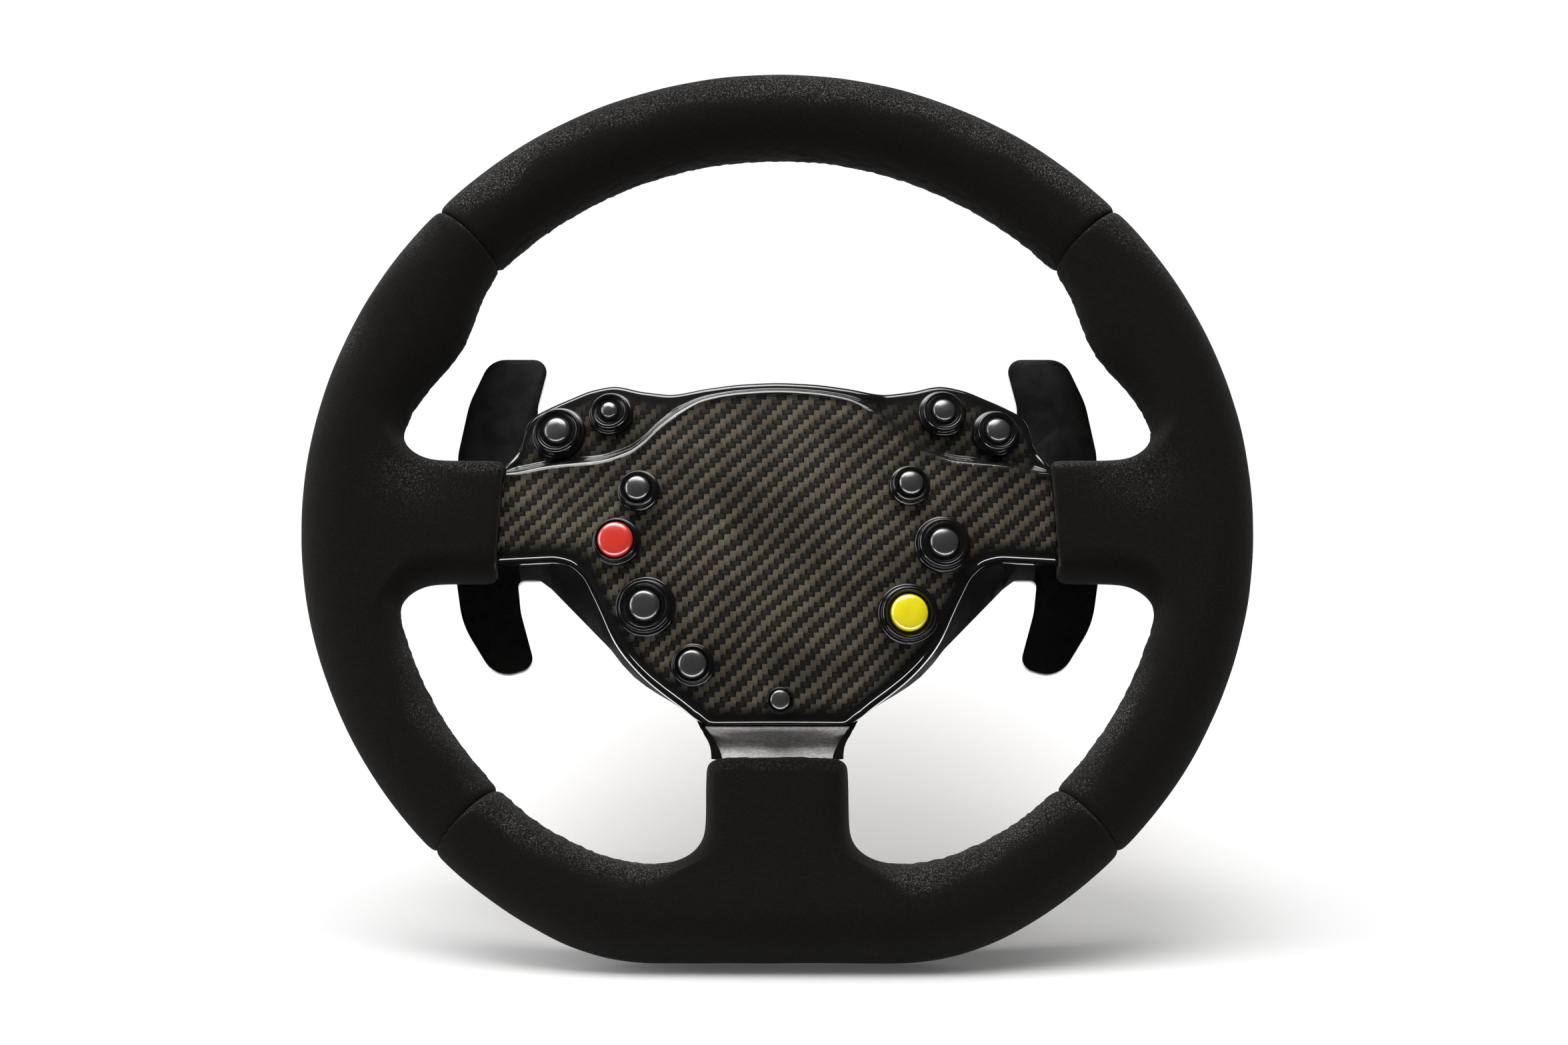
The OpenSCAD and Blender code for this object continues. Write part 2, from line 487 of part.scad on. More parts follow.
// Cap with a domed top, and a stem that stops short of the switch by the travel and a clearance
module cap(i) at_hub() color(i == 3 ? [0.75, 0.05, 0.05] : i == 10 ? [0.9, 0.83, 0.1] : [0.22, 0.22, 0.23])
    at_button(i) rotate([90, 0, 0]) rotate_extrude($fn = 48) {
    r = cap_r(i);
    top = collar_h + cap_rise;
    side = top - 1.5;
    foot = min(seat_depth(i) - board_front - switch_h - travel(i) - seat * 2, 8);
    polygon(concat([[0, -foot], [stem_r, -foot], [stem_r, 1], [r, 1], [r, side]],
        [for (a = [15:15:75]) [r - 1.2 + 1.2 * cos(a), side + 1.1 * sin(a)]],
        [[r - 1.2, side + 1.1], [r * 0.5, top - 0.15], [0, top]]));
}
stem_r = 1.6;
board_front = board_t - board_y;
// Switch on the board, square, with a round plunger
module switch(i) at_hub() color([0.15, 0.15, 0.16]) {
    x = buttons[i][0] + (seat_depth(i) - board_front) * -buttons[i][0] / dome_r;
    z = buttons[i][1] + (seat_depth(i) - board_front) * -buttons[i][1] / dome_r;
    translate([x, 0, z]) {
        translate([-switch_w / 2, board_y - board_t - switch_h + 1, -switch_w / 2])
            cube([switch_w, switch_h - 1, switch_w]);
        rod(board_y - board_t - switch_h, board_y - board_t - switch_h + 1, 1.7, 24);
    }
}

// Lower trim: a dished plate between the fascia and the bottom sleeve, in a recess between two legs of the housing
trim_top = 24;
trim_low = 18.3;
trim_t = 5.5;
leg_top = 26.7;
leg_low = 21.8;
leg_deep = 16.5;
dish_r = 26;
dish = 2.2;
trim_front = roll_r - dome(0, -fascia_drop);
neck_top = -fascia_drop - seat;
neck_low = arm_gap - drop_end;
// Outline that narrows from the fascia to the sleeve along hollow curves, carried on to z0 and z1
function waist(top, low, curl, z0, z1) = concat([[top, z0]],
    [for (t = [0:0.125:1]) [low + (top - low) * pow(1 - t, curl), mix(neck_top, neck_low, t)]], [[low, z1]]);
module neck(top, low, curl, z0, z1) {
    side = waist(top, low, curl, z0, z1);
    polygon(concat(side, [for (p = turned(side)) [-p[0], p[1]]]));
}
module lower_trim() at_hub() color([0.3, 0.29, 0.28]) difference() {
    slab(trim_front, trim_front + trim_t) intersection() {
        neck(trim_top, trim_low, 1.7, neck_top + cut, neck_low - cut);
        translate([-trim_top, neck_low]) square([2 * trim_top, neck_top - neck_low]);
    }
    translate([0, trim_front - dish_r + dish, mix(neck_top, neck_low, 0.45)]) rotate([0, 90, 0])
        cylinder(h = 2 * trim_top + 2 * cut, r = dish_r, center = true, $fn = 96);
    translate([0, 0, -drop_end]) cube([arm_h + 4, arm_t, 4 * trim_t], center = true);
}
// Legs of the housing, joined to its lower wall
module legs() {
    back = trim_front + leg_deep;
    wall = lip_d + trim_front + split + cut;
    slab(trim_front, wall) intersection() {
        neck(leg_top, leg_low, 2.6, neck_top + cut, neck_low - cut);
        translate([-leg_top, neck_low]) square([2 * leg_top, neck_top - neck_low]);
    }
    slab(wall - cut / 2, back) intersection() {
        neck(leg_top, leg_low, 2.6, neck_top + wall_t + cut, neck_low - cut);
        translate([-leg_top, neck_low]) square([2 * leg_top, neck_top + wall_t + cut - neck_low]);
    }
}

// Rear housing: a moulded shell with the fascia's outline and a rounded back edge
house_half = 0.962 * half_w;
house_columns = [for (x = columns) if (abs(x) <= house_half) x];
// Below the side arms the housing widens towards its back, to a straight web across the corner of the fascia
web_from = 49;
web_low = -48.5;
web_to = 77;
web_high = -19.2;
arm_flange = 1.6;
function web_z(x) = let (t = (abs(x) - web_from) / (web_to - web_from))
    t < 0 ? low_z(x) : t < 1 ? mix(web_low, web_high, t) : mix(web_high, low_z(x) - arm_flange, ease((t - 1) * 8));
function house_z(x) = min(low_z(x), web_z(x));
function house_ring(x) = let (a = house_z(x), b = top_z(x), r = back_r, mid = back_y - r,
    p = lip_low(x) + split, q = lip_top(x) + split)
    concat([[x, p, low_z(x) + wall_t * 1.5], [x, p, low_z(x)]],
        [for (t = [0:22.5:90]) [x, mid + r * sin(t), a + r * (1 - cos(t)) * 1.2]],
        [for (t = [90:-22.5:0]) [x, mid + r * sin(t), b - r * (1 - cos(t)) * 1.2]],
        [[x, q, b], [x, q, b - wall_t * 1.5]]);
module outline() polygon(concat([for (x = house_columns) [x, low_z(x)]],
    [for (x = turned(house_columns)) [x, top_z(x)]]));
module rear_housing() at_hub() color([0.1, 0.1, 0.11]) difference() {
    union() {
        difference() {
            loft([for (x = house_columns) turned(house_ring(x))]);
            slab(-dome_h, back_y - wall_t) offset(delta = -wall_t) outline();
        }
        lug_places() rod(plate_y + arm_t, back_y - wall_t + 0.5, 4.5, 32);
        board_posts() rod(board_y, back_y - wall_t + 0.5, post_r, 24);
        legs();
    }
    slab(trim_front - cut, trim_front + trim_t)
        neck(trim_top + seat, trim_low + seat, 1.7, -fascia_drop, neck_low - cut);
    rod(0, back_y + cut, hub_d / 2 + 0.5, 96);
    lug_places() rod(0, back_y + cut, screw_r + 0.2, 24);
    bracket_places() rod(back_y - wall_t - cut, back_y + cut, screw_r + 0.2, 24);
    for (side = [-1, 1]) translate([side * (house_half + step_from) / 2, 0, 0])
        cube([house_half - step_from + 6, 2 * (plate_y + arm_t + 0.5), arm_h + 1], center = true);
    translate([0, 0, -fascia_drop])
        cube([arm_h + 1, 2 * (plate_y + arm_t + 0.5), 2 * (drop_end - fascia_drop) + cut], center = true);
}

// Circuit board, on posts in the housing
post_r = 3;
board_w = 156;
posts = [[64, 30], [42, 36], [33, -48]];
module board_posts() for (side = [-1, 1]) for (p = posts) translate([side * p[0], 0, p[1]]) children();
module circuit_board() at_hub() color([0.05, 0.3, 0.15]) difference() {
    slab(board_y - board_t, board_y) difference() {
        intersection() {
            offset(delta = -wall_t - 1.5) outline();
            square([board_w, 2 * (fascia_top + fascia_drop)], center = true);
        }
        for (side = [-1, 1]) translate([side * (step_from + half_w) / 2, 0])
            square([half_w - step_from + 4, arm_h + 6], center = true);
    }
    translate([0, 0, -fascia_drop]) cube([arm_h + 4, 12, 2 * (fascia_drop - drop_from)], center = true);
}

// Hub spacer with the mounting holes, its screws, and the wiring socket in its bore
hub_screw_r = 2.5;
hub_screw_circle = 26;
edge = 0.8;
module hub_screw_places() for (k = [0:5]) rotate([0, 30 + 60 * k, 0]) translate([hub_screw_circle, 0, 0]) children();
module mounting_places() for (k = [0:bolt_count - 1]) rotate([0, 360 * k / bolt_count, 0])
    translate([bolt_circle / 2, 0, 0]) children();
module hub_spacer() at_hub() color([0.7, 0.71, 0.73]) difference() {
    rotate([-90, 0, 0]) rotate_extrude($fn = 120) polygon([[bore_d / 2, plate_y + arm_t],
        [hub_d / 2, plate_y + arm_t], [hub_d / 2, hub_y - edge], [hub_d / 2 - edge, hub_y],
        [bore_d / 2 + edge, hub_y], [bore_d / 2, hub_y - edge]]);
    mounting_places() rod(hub_y - bolt_deep, hub_y + cut, bolt_d / 2, 36);
    hub_screw_places() rod(plate_y, plate_y + arm_t + 12, hub_screw_r, 32);
}
module hub_screws() at_hub() color([0.35, 0.35, 0.37]) hub_screw_places() difference() {
    union() {
        rod(plate_y - 2.7, plate_y, 4.5, 32);
        rod(plate_y, plate_y + arm_t + 10, hub_screw_r, 32);
    }
    rod(plate_y - 2.7 - cut, plate_y - 1, 1.5, 6);
}
socket_r = 7;
socket_y = hub_y - 6;
module wiring_socket() at_hub() color([0.12, 0.12, 0.12]) difference() {
    union() {
        rod(socket_y - 7, socket_y - 4, bore_d / 2 - 0.05, 72);
        rod(socket_y - 16, socket_y, socket_r + 2, 48);
    }
    difference() {
        rod(socket_y - 6, socket_y + cut, socket_r, 48);
        for (k = [0:7]) rotate([0, 45 * k, 0]) translate([4, 0, 0]) rod(socket_y - 7, socket_y - 1, 0.8, 16);
    }
}

// Small screws that hold the housing to the frame and the brackets to the housing
screw_r = 1.5;
head_r = 2.8;
head_h = 1.8;
key_r = 1.1;
module small_screw(from, to) {
    rod(from, to, screw_r, 24);
    difference() {
        rod(to, to + head_h, head_r, 32);
        rod(to + head_h - cut, to + head_h + cut, key_r, 6);
    }
}
module housing_screws() at_hub() color([0.35, 0.35, 0.37]) {
    lug_places() small_screw(plate_y, back_y);
    bracket_places() small_screw(back_y - wall_t, back_y + foot_t);
}

// Paddles: one flat blade a side, on a knuckle that turns on a pin in a bracket
pin_y = blade_y + blade_t / 2;
arm_low = -10;
arm_high = 22;
hinge_x = hub_d / 2 + hinge_gap;
blade_root = hinge_x + 8;
blade_points = [[-109, 30, 20], [-105.5, 48, 30], [-98.5, 63.9, 8], [-78, 63.9, 4.5], [-82, 47, 12], [-82, 27, 3],
    [-blade_root, arm_high, 2], [-hinge_x, arm_high, 1], [-hinge_x, arm_low, 1], [-blade_root, arm_low, 2],
    [-80, -14.5, 8], [-88, -14.5, 2.5], [-86.8, -26, 30], [-81.6, -45, 4.5],
    [-95, -49, 9], [-106.5, -30, 30], [-109.2, -12, 30]];
magnet_r = 4;
magnet_z = 7;
magnet_x = hinge_x - magnet_z - magnet_r;
module paddle() difference() {
    union() {
        slab(blade_y, blade_y + blade_t) polygon(rounded(blade_points));
        translate([-hinge_x, pin_y, arm_low]) cylinder(h = arm_high - arm_low, r = knuckle_d / 2, $fn = 48);
        translate([-hinge_x, blade_y, 0]) cube([hinge_x - magnet_x + magnet_r + cut, blade_t, 2 * magnet_z]);
    }
    translate([-hinge_x, pin_y, arm_low - cut])
        cylinder(h = arm_high - arm_low + 2 * cut, r = pin_d / 2 + pin_fit, $fn = 48);
}
module paddle_left() at_hub() color([0.09, 0.09, 0.1]) paddle();
module paddle_right() at_hub() color([0.09, 0.09, 0.1]) mirror([1, 0, 0]) paddle();
ear_t = 3.5;
foot_t = 1.6;
bracket_in = hinge_x - 7;
bracket_out = hinge_x + 6;
foot_w = 8;
foot_z = [arm_low - seat - ear_t / 2 - 5, arm_high + seat + ear_t / 2 + 5];
module bracket_places() for (side = [-1, 1]) for (z = foot_z) translate([side * hinge_x, 0, z]) children();
module bracket() difference() {
    union() {
        for (z = [arm_low - seat - ear_t, arm_high + seat]) {
            translate([-bracket_out, back_y, z]) cube([bracket_out - bracket_in, pin_y - back_y, ear_t]);
            translate([-hinge_x, pin_y, z]) cylinder(h = ear_t, r = bracket_out - hinge_x - 1, $fn = 48);
        }
        for (z = foot_z)
            translate([-bracket_out, back_y, z - foot_w / 2]) cube([bracket_out - bracket_in, foot_t, foot_w]);
    }
    translate([-hinge_x, pin_y, arm_low - seat - ear_t - cut])
        cylinder(h = arm_high - arm_low + 2 * (seat + ear_t + cut), r = pin_d / 2, $fn = 48);
    bracket_places() rod(back_y - cut, back_y + foot_t + cut, screw_r, 24);
}
module hinge_bracket_left() at_hub() color([0.2, 0.2, 0.21]) bracket();
module hinge_bracket_right() at_hub() color([0.2, 0.2, 0.21]) mirror([1, 0, 0]) bracket();
module hinge_pin() translate([-hinge_x, pin_y, arm_low - seat - ear_t])
    cylinder(h = arm_high - arm_low + 2 * (seat + ear_t), r = pin_d / 2, $fn = 48);
module hinge_pin_left() at_hub() color([0.75, 0.76, 0.78]) hinge_pin();
module hinge_pin_right() at_hub() color([0.75, 0.76, 0.78]) mirror([1, 0, 0]) hinge_pin();
// Magnet that draws the tail of a paddle back to rest
module magnet() translate([-magnet_x, 0, magnet_z]) rod(back_y, blade_y - seat, magnet_r, 36);
module magnet_left() at_hub() color([0.7, 0.7, 0.72]) magnet();
module magnet_right() at_hub() color([0.7, 0.7, 0.72]) mirror([1, 0, 0]) magnet();

cover_top();
cover_left();
cover_right();
cover_bottom();
rim_foam();
rim_frame();
fascia();
lower_trim();
rear_housing();
hub_spacer();
hub_screws();
housing_screws();
circuit_board();
wiring_socket();
paddle_left();
paddle_right();
hinge_pin_left();
hinge_pin_right();
hinge_bracket_left();
hinge_bracket_right();
magnet_left();
magnet_right();
for (i = [0:button_n - 1]) {
    cap(i);
    collar(i);
    switch(i);
}
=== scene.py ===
"""Steering wheel: suede covers, a carbon fascia, push buttons and shift paddles, dressed on the CAD frame."""

import math

import bmesh
import bpy
from bpy.props import FloatProperty, FloatVectorProperty, IntProperty, PointerProperty
from mathutils import Matrix, Vector, noise


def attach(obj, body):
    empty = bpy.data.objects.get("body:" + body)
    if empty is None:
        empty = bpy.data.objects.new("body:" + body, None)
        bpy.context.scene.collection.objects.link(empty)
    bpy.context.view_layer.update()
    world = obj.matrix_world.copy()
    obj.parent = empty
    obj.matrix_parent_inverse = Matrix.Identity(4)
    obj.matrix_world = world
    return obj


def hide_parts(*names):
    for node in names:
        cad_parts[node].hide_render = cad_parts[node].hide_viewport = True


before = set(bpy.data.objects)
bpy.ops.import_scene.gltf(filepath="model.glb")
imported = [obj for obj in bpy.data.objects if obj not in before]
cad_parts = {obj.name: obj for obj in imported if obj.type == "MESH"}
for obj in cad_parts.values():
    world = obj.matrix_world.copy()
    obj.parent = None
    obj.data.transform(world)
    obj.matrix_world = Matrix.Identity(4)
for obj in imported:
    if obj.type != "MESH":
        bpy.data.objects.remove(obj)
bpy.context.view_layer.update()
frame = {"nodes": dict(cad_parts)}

bl_info = {
    "name": "Steering Wheel Dresser",
    "version": (1, 0, 0),
    "blender": (4, 5, 0),
    "location": "View3D > Sidebar > Wheel",
    "description": "Builds the covers, fascia, buttons, paddles and stage of a steering wheel",
    "category": "Object",
}

MM = 0.001
HUB_Y = 36.0  # from the hub's mounting face to the rim's middle plane
WHEEL = "wheel"

# Rim centre line, as in the part's source, in millimetres about the rim's middle plane
LINE_R, LINE_FLAT, LINE_CORNER = 145.0, 135.0, 55.0
CORNER_Z = LINE_CORNER - LINE_FLAT
CORNER_X = math.sqrt((LINE_R - LINE_CORNER) ** 2 - CORNER_Z ** 2)
CORNER_A = math.atan2(CORNER_Z, CORNER_X)
SLEEVE_END, DROP_END = 92.0, 83.5
FOAM_R = 11.8

# Covers: half sizes of the sleeves' hollows (depth, height at the sides, width at the bottom) and of the slots for
# the metal arms (depth, height), and the room over the hollow's end and over the foam
COVERS = ("cover_top", "cover_left", "cover_right", "cover_bottom")
HOLLOW_Y, HOLLOW_Z, HOLLOW_X = 9.1, 17.9, 19.7
SLOT_Y, SLOT_Z = 2.7, 13.7
HOLLOW_GAP, FOAM_GAP = 0.5, 0.25

# Seam between the sleeves and the fascia's arms: half its height, how far it leans out at the bottom, and where the
# lean ends (towards the hub, outwards and in height) after fading over some way
SLEEVE_HALF, SLANT = 18.0, 2.4
SLANT_IN, SLANT_OUT, SLANT_HIGH = 20.0, 16.0, 40.0
FADE_OUT, FADE_HIGH = 14.0, 10.0

# Fillets from the rim to the side and bottom sleeves: their middle, half width and reach along the rim
FILLET_SIDE, FILLET_LOW, FILLET_HALF, FILLET_REACH = 118.0, 110.0, 17.0, 54.0

# Painted light on the suede's nap: a lit patch and a dimmed fillet of the side covers, where more and less light is
# painted, as place and half sizes, and the bottom sleeve's hem, its height and the painted light it gets
LIT_PATCH, DIMMED_PATCH = (119, 13, 18, 14), (127, 25, 13, 11)
HEM, HEM_LIGHT = 4.3, 0.35

# Fascia, as in the part's source: dome, step, rolled edges, then the lip behind them and the step's flank and crest
DOME_H, DOME_R, STEP, ROLL, TOP, DROP = 16.7, 385.0, 4.0, 3.5, 46.4, 72.0
TOP_ROLL, LIP = 1.7, 1.3
HALF = 91.5
FLANK_LEAST, FLANK_MOST, CREST = 1.6, 3.6, 0.45
TOP_KNOTS = [(0, -0.5), (0.13, -1), (0.25, -2.3), (0.37, -3.8), (0.49, -2.4), (0.605, 0), (0.68, -1), (0.765, -3.8),
             (0.852, -7.2), (0.902, -9.8), (0.929, -13.4), (0.94, -18.4), (0.962, -22.9), (1, -27.1)]
RIDGE_KNOTS = [(0, -4.1), (0.126, -4.7), (0.257, -6.6), (0.355, -10.6), (0.437, -16.3), (0.492, -21.3),
               (0.546, -24.7), (0.656, -27.5), (0.831, -28.4), (1, -30.6)]
LOW_KNOTS = [(0, 0), (0.24, 0), (0.3, 3), (0.34, 6), (0.426, 12), (0.475, 15.8), (0.53, 21), (0.574, 26.2), (0.61, 32),
             (0.639, 38), (0.672, 44.5), (0.71, 51), (0.765, 55.2), (0.831, 56.5), (1, 56.5)]

# Buttons: place on the face, and diameters of cap, ring and base
BUTTONS = [(-73.3, 29.4, 9, 14.5, 18.4), (-55.8, 35.5, 5.6, 11.8, 15.2), (-46.1, 6.7, 8.4, 11.4, 14.3),
           (-53.3, -10.6, 11.9, 13.6, 16.4), (-43.5, -33, 10.4, 15.6, 20.4), (-27.8, -52.6, 9.6, 11.6, 14.5),
           (55.3, 35.5, 7.8, 12.8, 16.4), (73.3, 29.4, 8.4, 12.5, 16.4), (44, 8.4, 8.2, 11.2, 13.8),
           (54.8, -11.5, 9.8, 15, 19.2), (43.2, -35.4, 12.4, 16.4, 20.6), (0.9, -64.5, 6.7, 7.9, 9.4)]
CAP_TONES = {3: "cap_red", 10: "cap_yellow"}
RING_HIGH, CAP_RISE, CAP_FOOT, SHOULDER = 4.4, 1.8, 1.0, 0.35
BORE_GAP, HOLE_GAP, BARREL_WALL, BARREL_DEEP = 0.3, 0.9, 0.5, 2.4

# Lights: name, place from the rim's centre, width and height in metres, and watts. Those named gloss show in the
# gloss alone.
LIGHTS = [("key_light", (-0.3, -0.85, 1.65), (2.2, 1.2), 58),
          ("side_light", (-1.7, -0.7, 0.5), (0.4, 1.3), 5),
          ("back_light", (0.0, 1.7, 0.5), (3.4, 2.4), 56),
          ("gloss_panel", (-0.6, -0.55, 1.85), (2.6, 1.1), 62),
          ("gloss_side", (-1.8, -0.2, 0.45), (0.7, 1.4), 26),
          ("gloss_strip", (0.0, -0.5, -1.4), (5.0, 0.22), 80),
          ("gloss_strip_low", (0.0, 0.05, -1.5), (5.0, 0.22), 80)]
AMBIENT, GLOSS_AMBIENT = 0.16, 0.02

# Floor: its size, how far it lies under the rim, and its tones from the rim outwards, from a painted shadow under the
# rim to pale
FLOOR_SIZE, FLOOR_GAP, TUBE_R = 8.0, 0.3, 15.3
FLOOR_DEEP_SHADOW, FLOOR_SHADE = (0.06, 0.051, 0.043), (0.25, 0.232, 0.214)
FLOOR_PALE = ((0.93, 0.922, 0.912), (0.95, 0.942, 0.932))
SHADOW_X = 0.02

# Photograph: its width and the shift of its middle, in pixels, and the camera's sensor in millimetres
PHOTO_WIDTH, PHOTO_SHIFT, SENSOR = 2352, 10, 36


# Curves shared with the part's source
def knots(table, base):
    return [(k * HALF, base + v) for k, v in table]


TOPS, RIDGES, LOWS = knots(TOP_KNOTS, TOP), knots(RIDGE_KNOTS, TOP), knots(LOW_KNOTS, -DROP)


def curve(k, x):
    """Height at x of a smooth curve through the knots k, the same on both sides of the middle."""
    x = abs(x)
    i = max([n for n in range(len(k) - 1) if k[n][0] <= x] or [0])

    def rise(n):
        return (k[n + 1][1] - k[n][1]) / (k[n + 1][0] - k[n][0])

    def slope(n):
        if n == 0:
            return 0.0
        if n == len(k) - 1:
            return rise(n - 1)
        a, b = rise(n - 1), rise(n)
        return 0.0 if a * b <= 0 else 2 * a * b / (a + b)

    w = k[i + 1][0] - k[i][0]
    t = (x - k[i][0]) / w
    u = 1 - t
    return (u ** 3 * k[i][1] + 3 * u * u * t * (k[i][1] + slope(i) * w / 3)
            + 3 * u * t * t * (k[i + 1][1] - slope(i + 1) * w / 3) + t ** 3 * k[i + 1][1])


def ease(t):
    """A smooth step from 0 to 1."""
    t = min(max(t, 0.0), 1.0)
    return t * t * (3 - 2 * t)


def lean(k, x):
    """How much longer a way across the curve is upright than square to it."""
    near, most = 0.4, 2.2
    s = (curve(k, min(abs(x) + near, HALF)) - curve(k, max(abs(x) - near, 0))) / (2 * near)
    return min(math.sqrt(1 + s * s), most)


def dome(x, z):
    return DOME_H - (x * x + z * z) / (2 * DOME_R)


def low_roll(x):
    """The lower edge is rolled tightly where it meets the trim."""
    return TOP_ROLL + (ROLL - TOP_ROLL) * ease((abs(x) - 20) / 7)


def edge_ways(x, z):
    """Distances of a place on the face to the upper and the lower edge, square to them."""
    return (curve(TOPS, x) - z) / lean(TOPS, x), (z - curve(LOWS, x)) / lean(LOWS, x)


def face_height(x, z):
    """Height of the face above the rim's middle plane: dome, ridge, step to the wings and rolled edges."""
    top, ridge = curve(TOPS, x), curve(RIDGES, x)
    up, down = edge_ways(x, z)
    roll, d = (TOP_ROLL, up) if up < down else (low_roll(x), down)
    d = min(max(d, 0.0), roll)
    gap = top - ridge
    flank = min(max(0.45 * gap, FLANK_LEAST), FLANK_MOST)
    step = STEP * (0.55 + 0.45 * ease((gap - 4) / 6)) * ease((z - ridge + 0.3 * flank) / flank)
    crest = CREST * math.exp(-((z - ridge + 0.62 * flank + 0.3) / (0.9 + 0.2 * flank)) ** 2)
    return dome(x, z) + crest - step - (roll - math.sqrt(roll ** 2 - (roll - d) ** 2))


def rim_way(p):
    """Distance from the rim's centre line of a point in millimetres."""
    x, z = abs(p.x), p.z
    if x <= CORNER_X and z < 0:
        near = (x, -LINE_FLAT)
    else:
        small = z < CORNER_Z and math.atan2(z - CORNER_Z, x - CORNER_X) < CORNER_A
        middle, radius = ((CORNER_X, CORNER_Z), LINE_CORNER) if small else ((0.0, 0.0), LINE_R)
        a = math.atan2(z - middle[1], x - middle[0])
        near = (middle[0] + radius * math.cos(a), middle[1] + radius * math.sin(a))
    return math.hypot(math.hypot(x - near[0], z - near[1]), p.y)


# Modelling helpers
def deselect():
    if bpy.context.object and bpy.context.object.mode != "OBJECT":
        bpy.ops.object.mode_set(mode="OBJECT")
    bpy.ops.object.select_all(action="DESELECT")


def pick(obj):
    deselect()
    obj.select_set(True)
    bpy.context.view_layer.objects.active = obj
    return obj


def copy_of(node, name):
    """A merged copy of a CAD node."""
    source = frame["nodes"][node]
    obj = bpy.data.objects.new(name, source.data.copy())
    bpy.context.scene.collection.objects.link(obj)
    obj.data.materials.clear()
    pick(obj)
    bpy.ops.object.mode_set(mode="EDIT")
    bpy.ops.mesh.select_all(action="SELECT")
    bpy.ops.mesh.remove_doubles(threshold=0.02 * MM)
    bpy.ops.object.mode_set(mode="OBJECT")
    if obj.data.has_custom_normals:
        bpy.ops.mesh.customdata_custom_splitnormals_clear()
    return obj


def apply(obj, kind, **settings):
    """Adds a modifier with these settings and applies it."""
    pick(obj)
    m = obj.modifiers.new("Change", kind)
    for key, value in settings.items():
        setattr(m, key, value)
    bpy.ops.object.modifier_apply(modifier=m.name)


def smooth(obj, degrees=35):
    pick(obj)
    bpy.ops.object.shade_smooth_by_angle(angle=math.radians(degrees))


def finish(obj, body, slot, material, *nodes):
    """Gives the piece its material and its body, and hides the nodes it stands for. The slot is not used."""
    obj.data.materials.clear()
    obj.data.materials.append(material)
    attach(obj, body)
    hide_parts(*nodes)


def spun(name, profile, steps=96):
    """A turned piece about Y from points of [radius, height towards the driver], in millimetres."""
    deselect()
    bpy.ops.mesh.primitive_plane_add(size=2 * MM)
    obj = bpy.context.object
    obj.name = name
    bpy.ops.object.mode_set(mode="EDIT")
    bpy.ops.mesh.delete(type="ONLY_FACE")
    bm = bmesh.from_edit_mesh(obj.data)
    bmesh.ops.delete(bm, geom=bm.verts[:], context="VERTS")
    verts = [bm.verts.new((r * MM, -h * MM, 0)) for r, h in profile]
    edges = [bm.edges.new(pair) for pair in zip(verts, verts[1:])]
    for item in verts + edges:
        item.select = True
    bmesh.update_edit_mesh(obj.data)
    bpy.ops.mesh.spin(steps=steps, angle=2 * math.pi, center=(0, 0, 0), axis=(0, 1, 0), use_auto_merge=True)
    bpy.ops.mesh.select_all(action="SELECT")
    bpy.ops.mesh.remove_doubles(threshold=0.000002)
    bpy.ops.mesh.normals_make_consistent(inside=False)
    bpy.ops.object.mode_set(mode="OBJECT")
    return obj


def move_mesh(obj, matrix):
    obj.data.transform(matrix)
    obj.data.update()


def slant(obj):
    """Leans the seam between the fascia's arms and the sleeves: it runs outwards towards the bottom."""
    for v in obj.data.vertices:
        x, z = abs(v.co.x) / MM, v.co.z / MM
        near = ease((x - SLEEVE_END + SLANT_IN) / SLANT_IN)
        near *= ease((SLEEVE_END + SLANT_OUT - x) / FADE_OUT) * ease((SLANT_HIGH - abs(z)) / FADE_HIGH)
        out = SLANT * min(max((SLEEVE_HALF - z) / (2 * SLEEVE_HALF), 0), 1)
        v.co.x += math.copysign(out * near * MM, v.co.x)


def patch(p, x, z, wide, high):
    """1 at a place on both sides of the wheel, fading out around it."""
    return math.exp(-((abs(p.x) - x) / wide) ** 2 - ((p.z - z) / high) ** 2)


def softened(node, name, width, segments=2, angle=40, reshape=None):
    """A copy of a node, reshaped where asked, with its flat faces joined and its sharp edges rounded."""
    obj = copy_of(node, name)
    if reshape:
        for v in obj.data.vertices:
            v.co += reshape(v.co / MM) * MM
    bpy.ops.object.mode_set(mode="EDIT")
    bpy.ops.mesh.select_all(action="SELECT")
    bpy.ops.mesh.dissolve_limited(angle_limit=math.radians(0.6))
    bpy.ops.object.mode_set(mode="OBJECT")
    apply(obj, "BEVEL", width=width * MM, segments=segments, limit_method="ANGLE", angle_limit=math.radians(angle),
          use_clamp_overlap=True, harden_normals=False)
    smooth(obj)
    return obj


def rounded(points, radius, n=4):
    """A profile with its corners rounded, apart from nearly straight ones."""
    straight, least = 3.0, 0.02
    out = [points[0]]
    for a, b, c in zip(points, points[1:], points[2:]):
        va, vc = Vector(a) - Vector(b), Vector(c) - Vector(b)
        r = min(radius, va.length * 0.45, vc.length * 0.45)
        if r < least or va.angle(vc) > straight:
            out.append(b)
            continue
        start, end = Vector(b) + va.normalized() * r, Vector(b) + vc.normalized() * r
        for k in range(n + 1):
            t = k / n
            q = start * (1 - t) ** 2 + Vector(b) * 2 * t * (1 - t) + end * t * t
            out.append((q.x, q.y))
    out.append(points[-1])
    return out


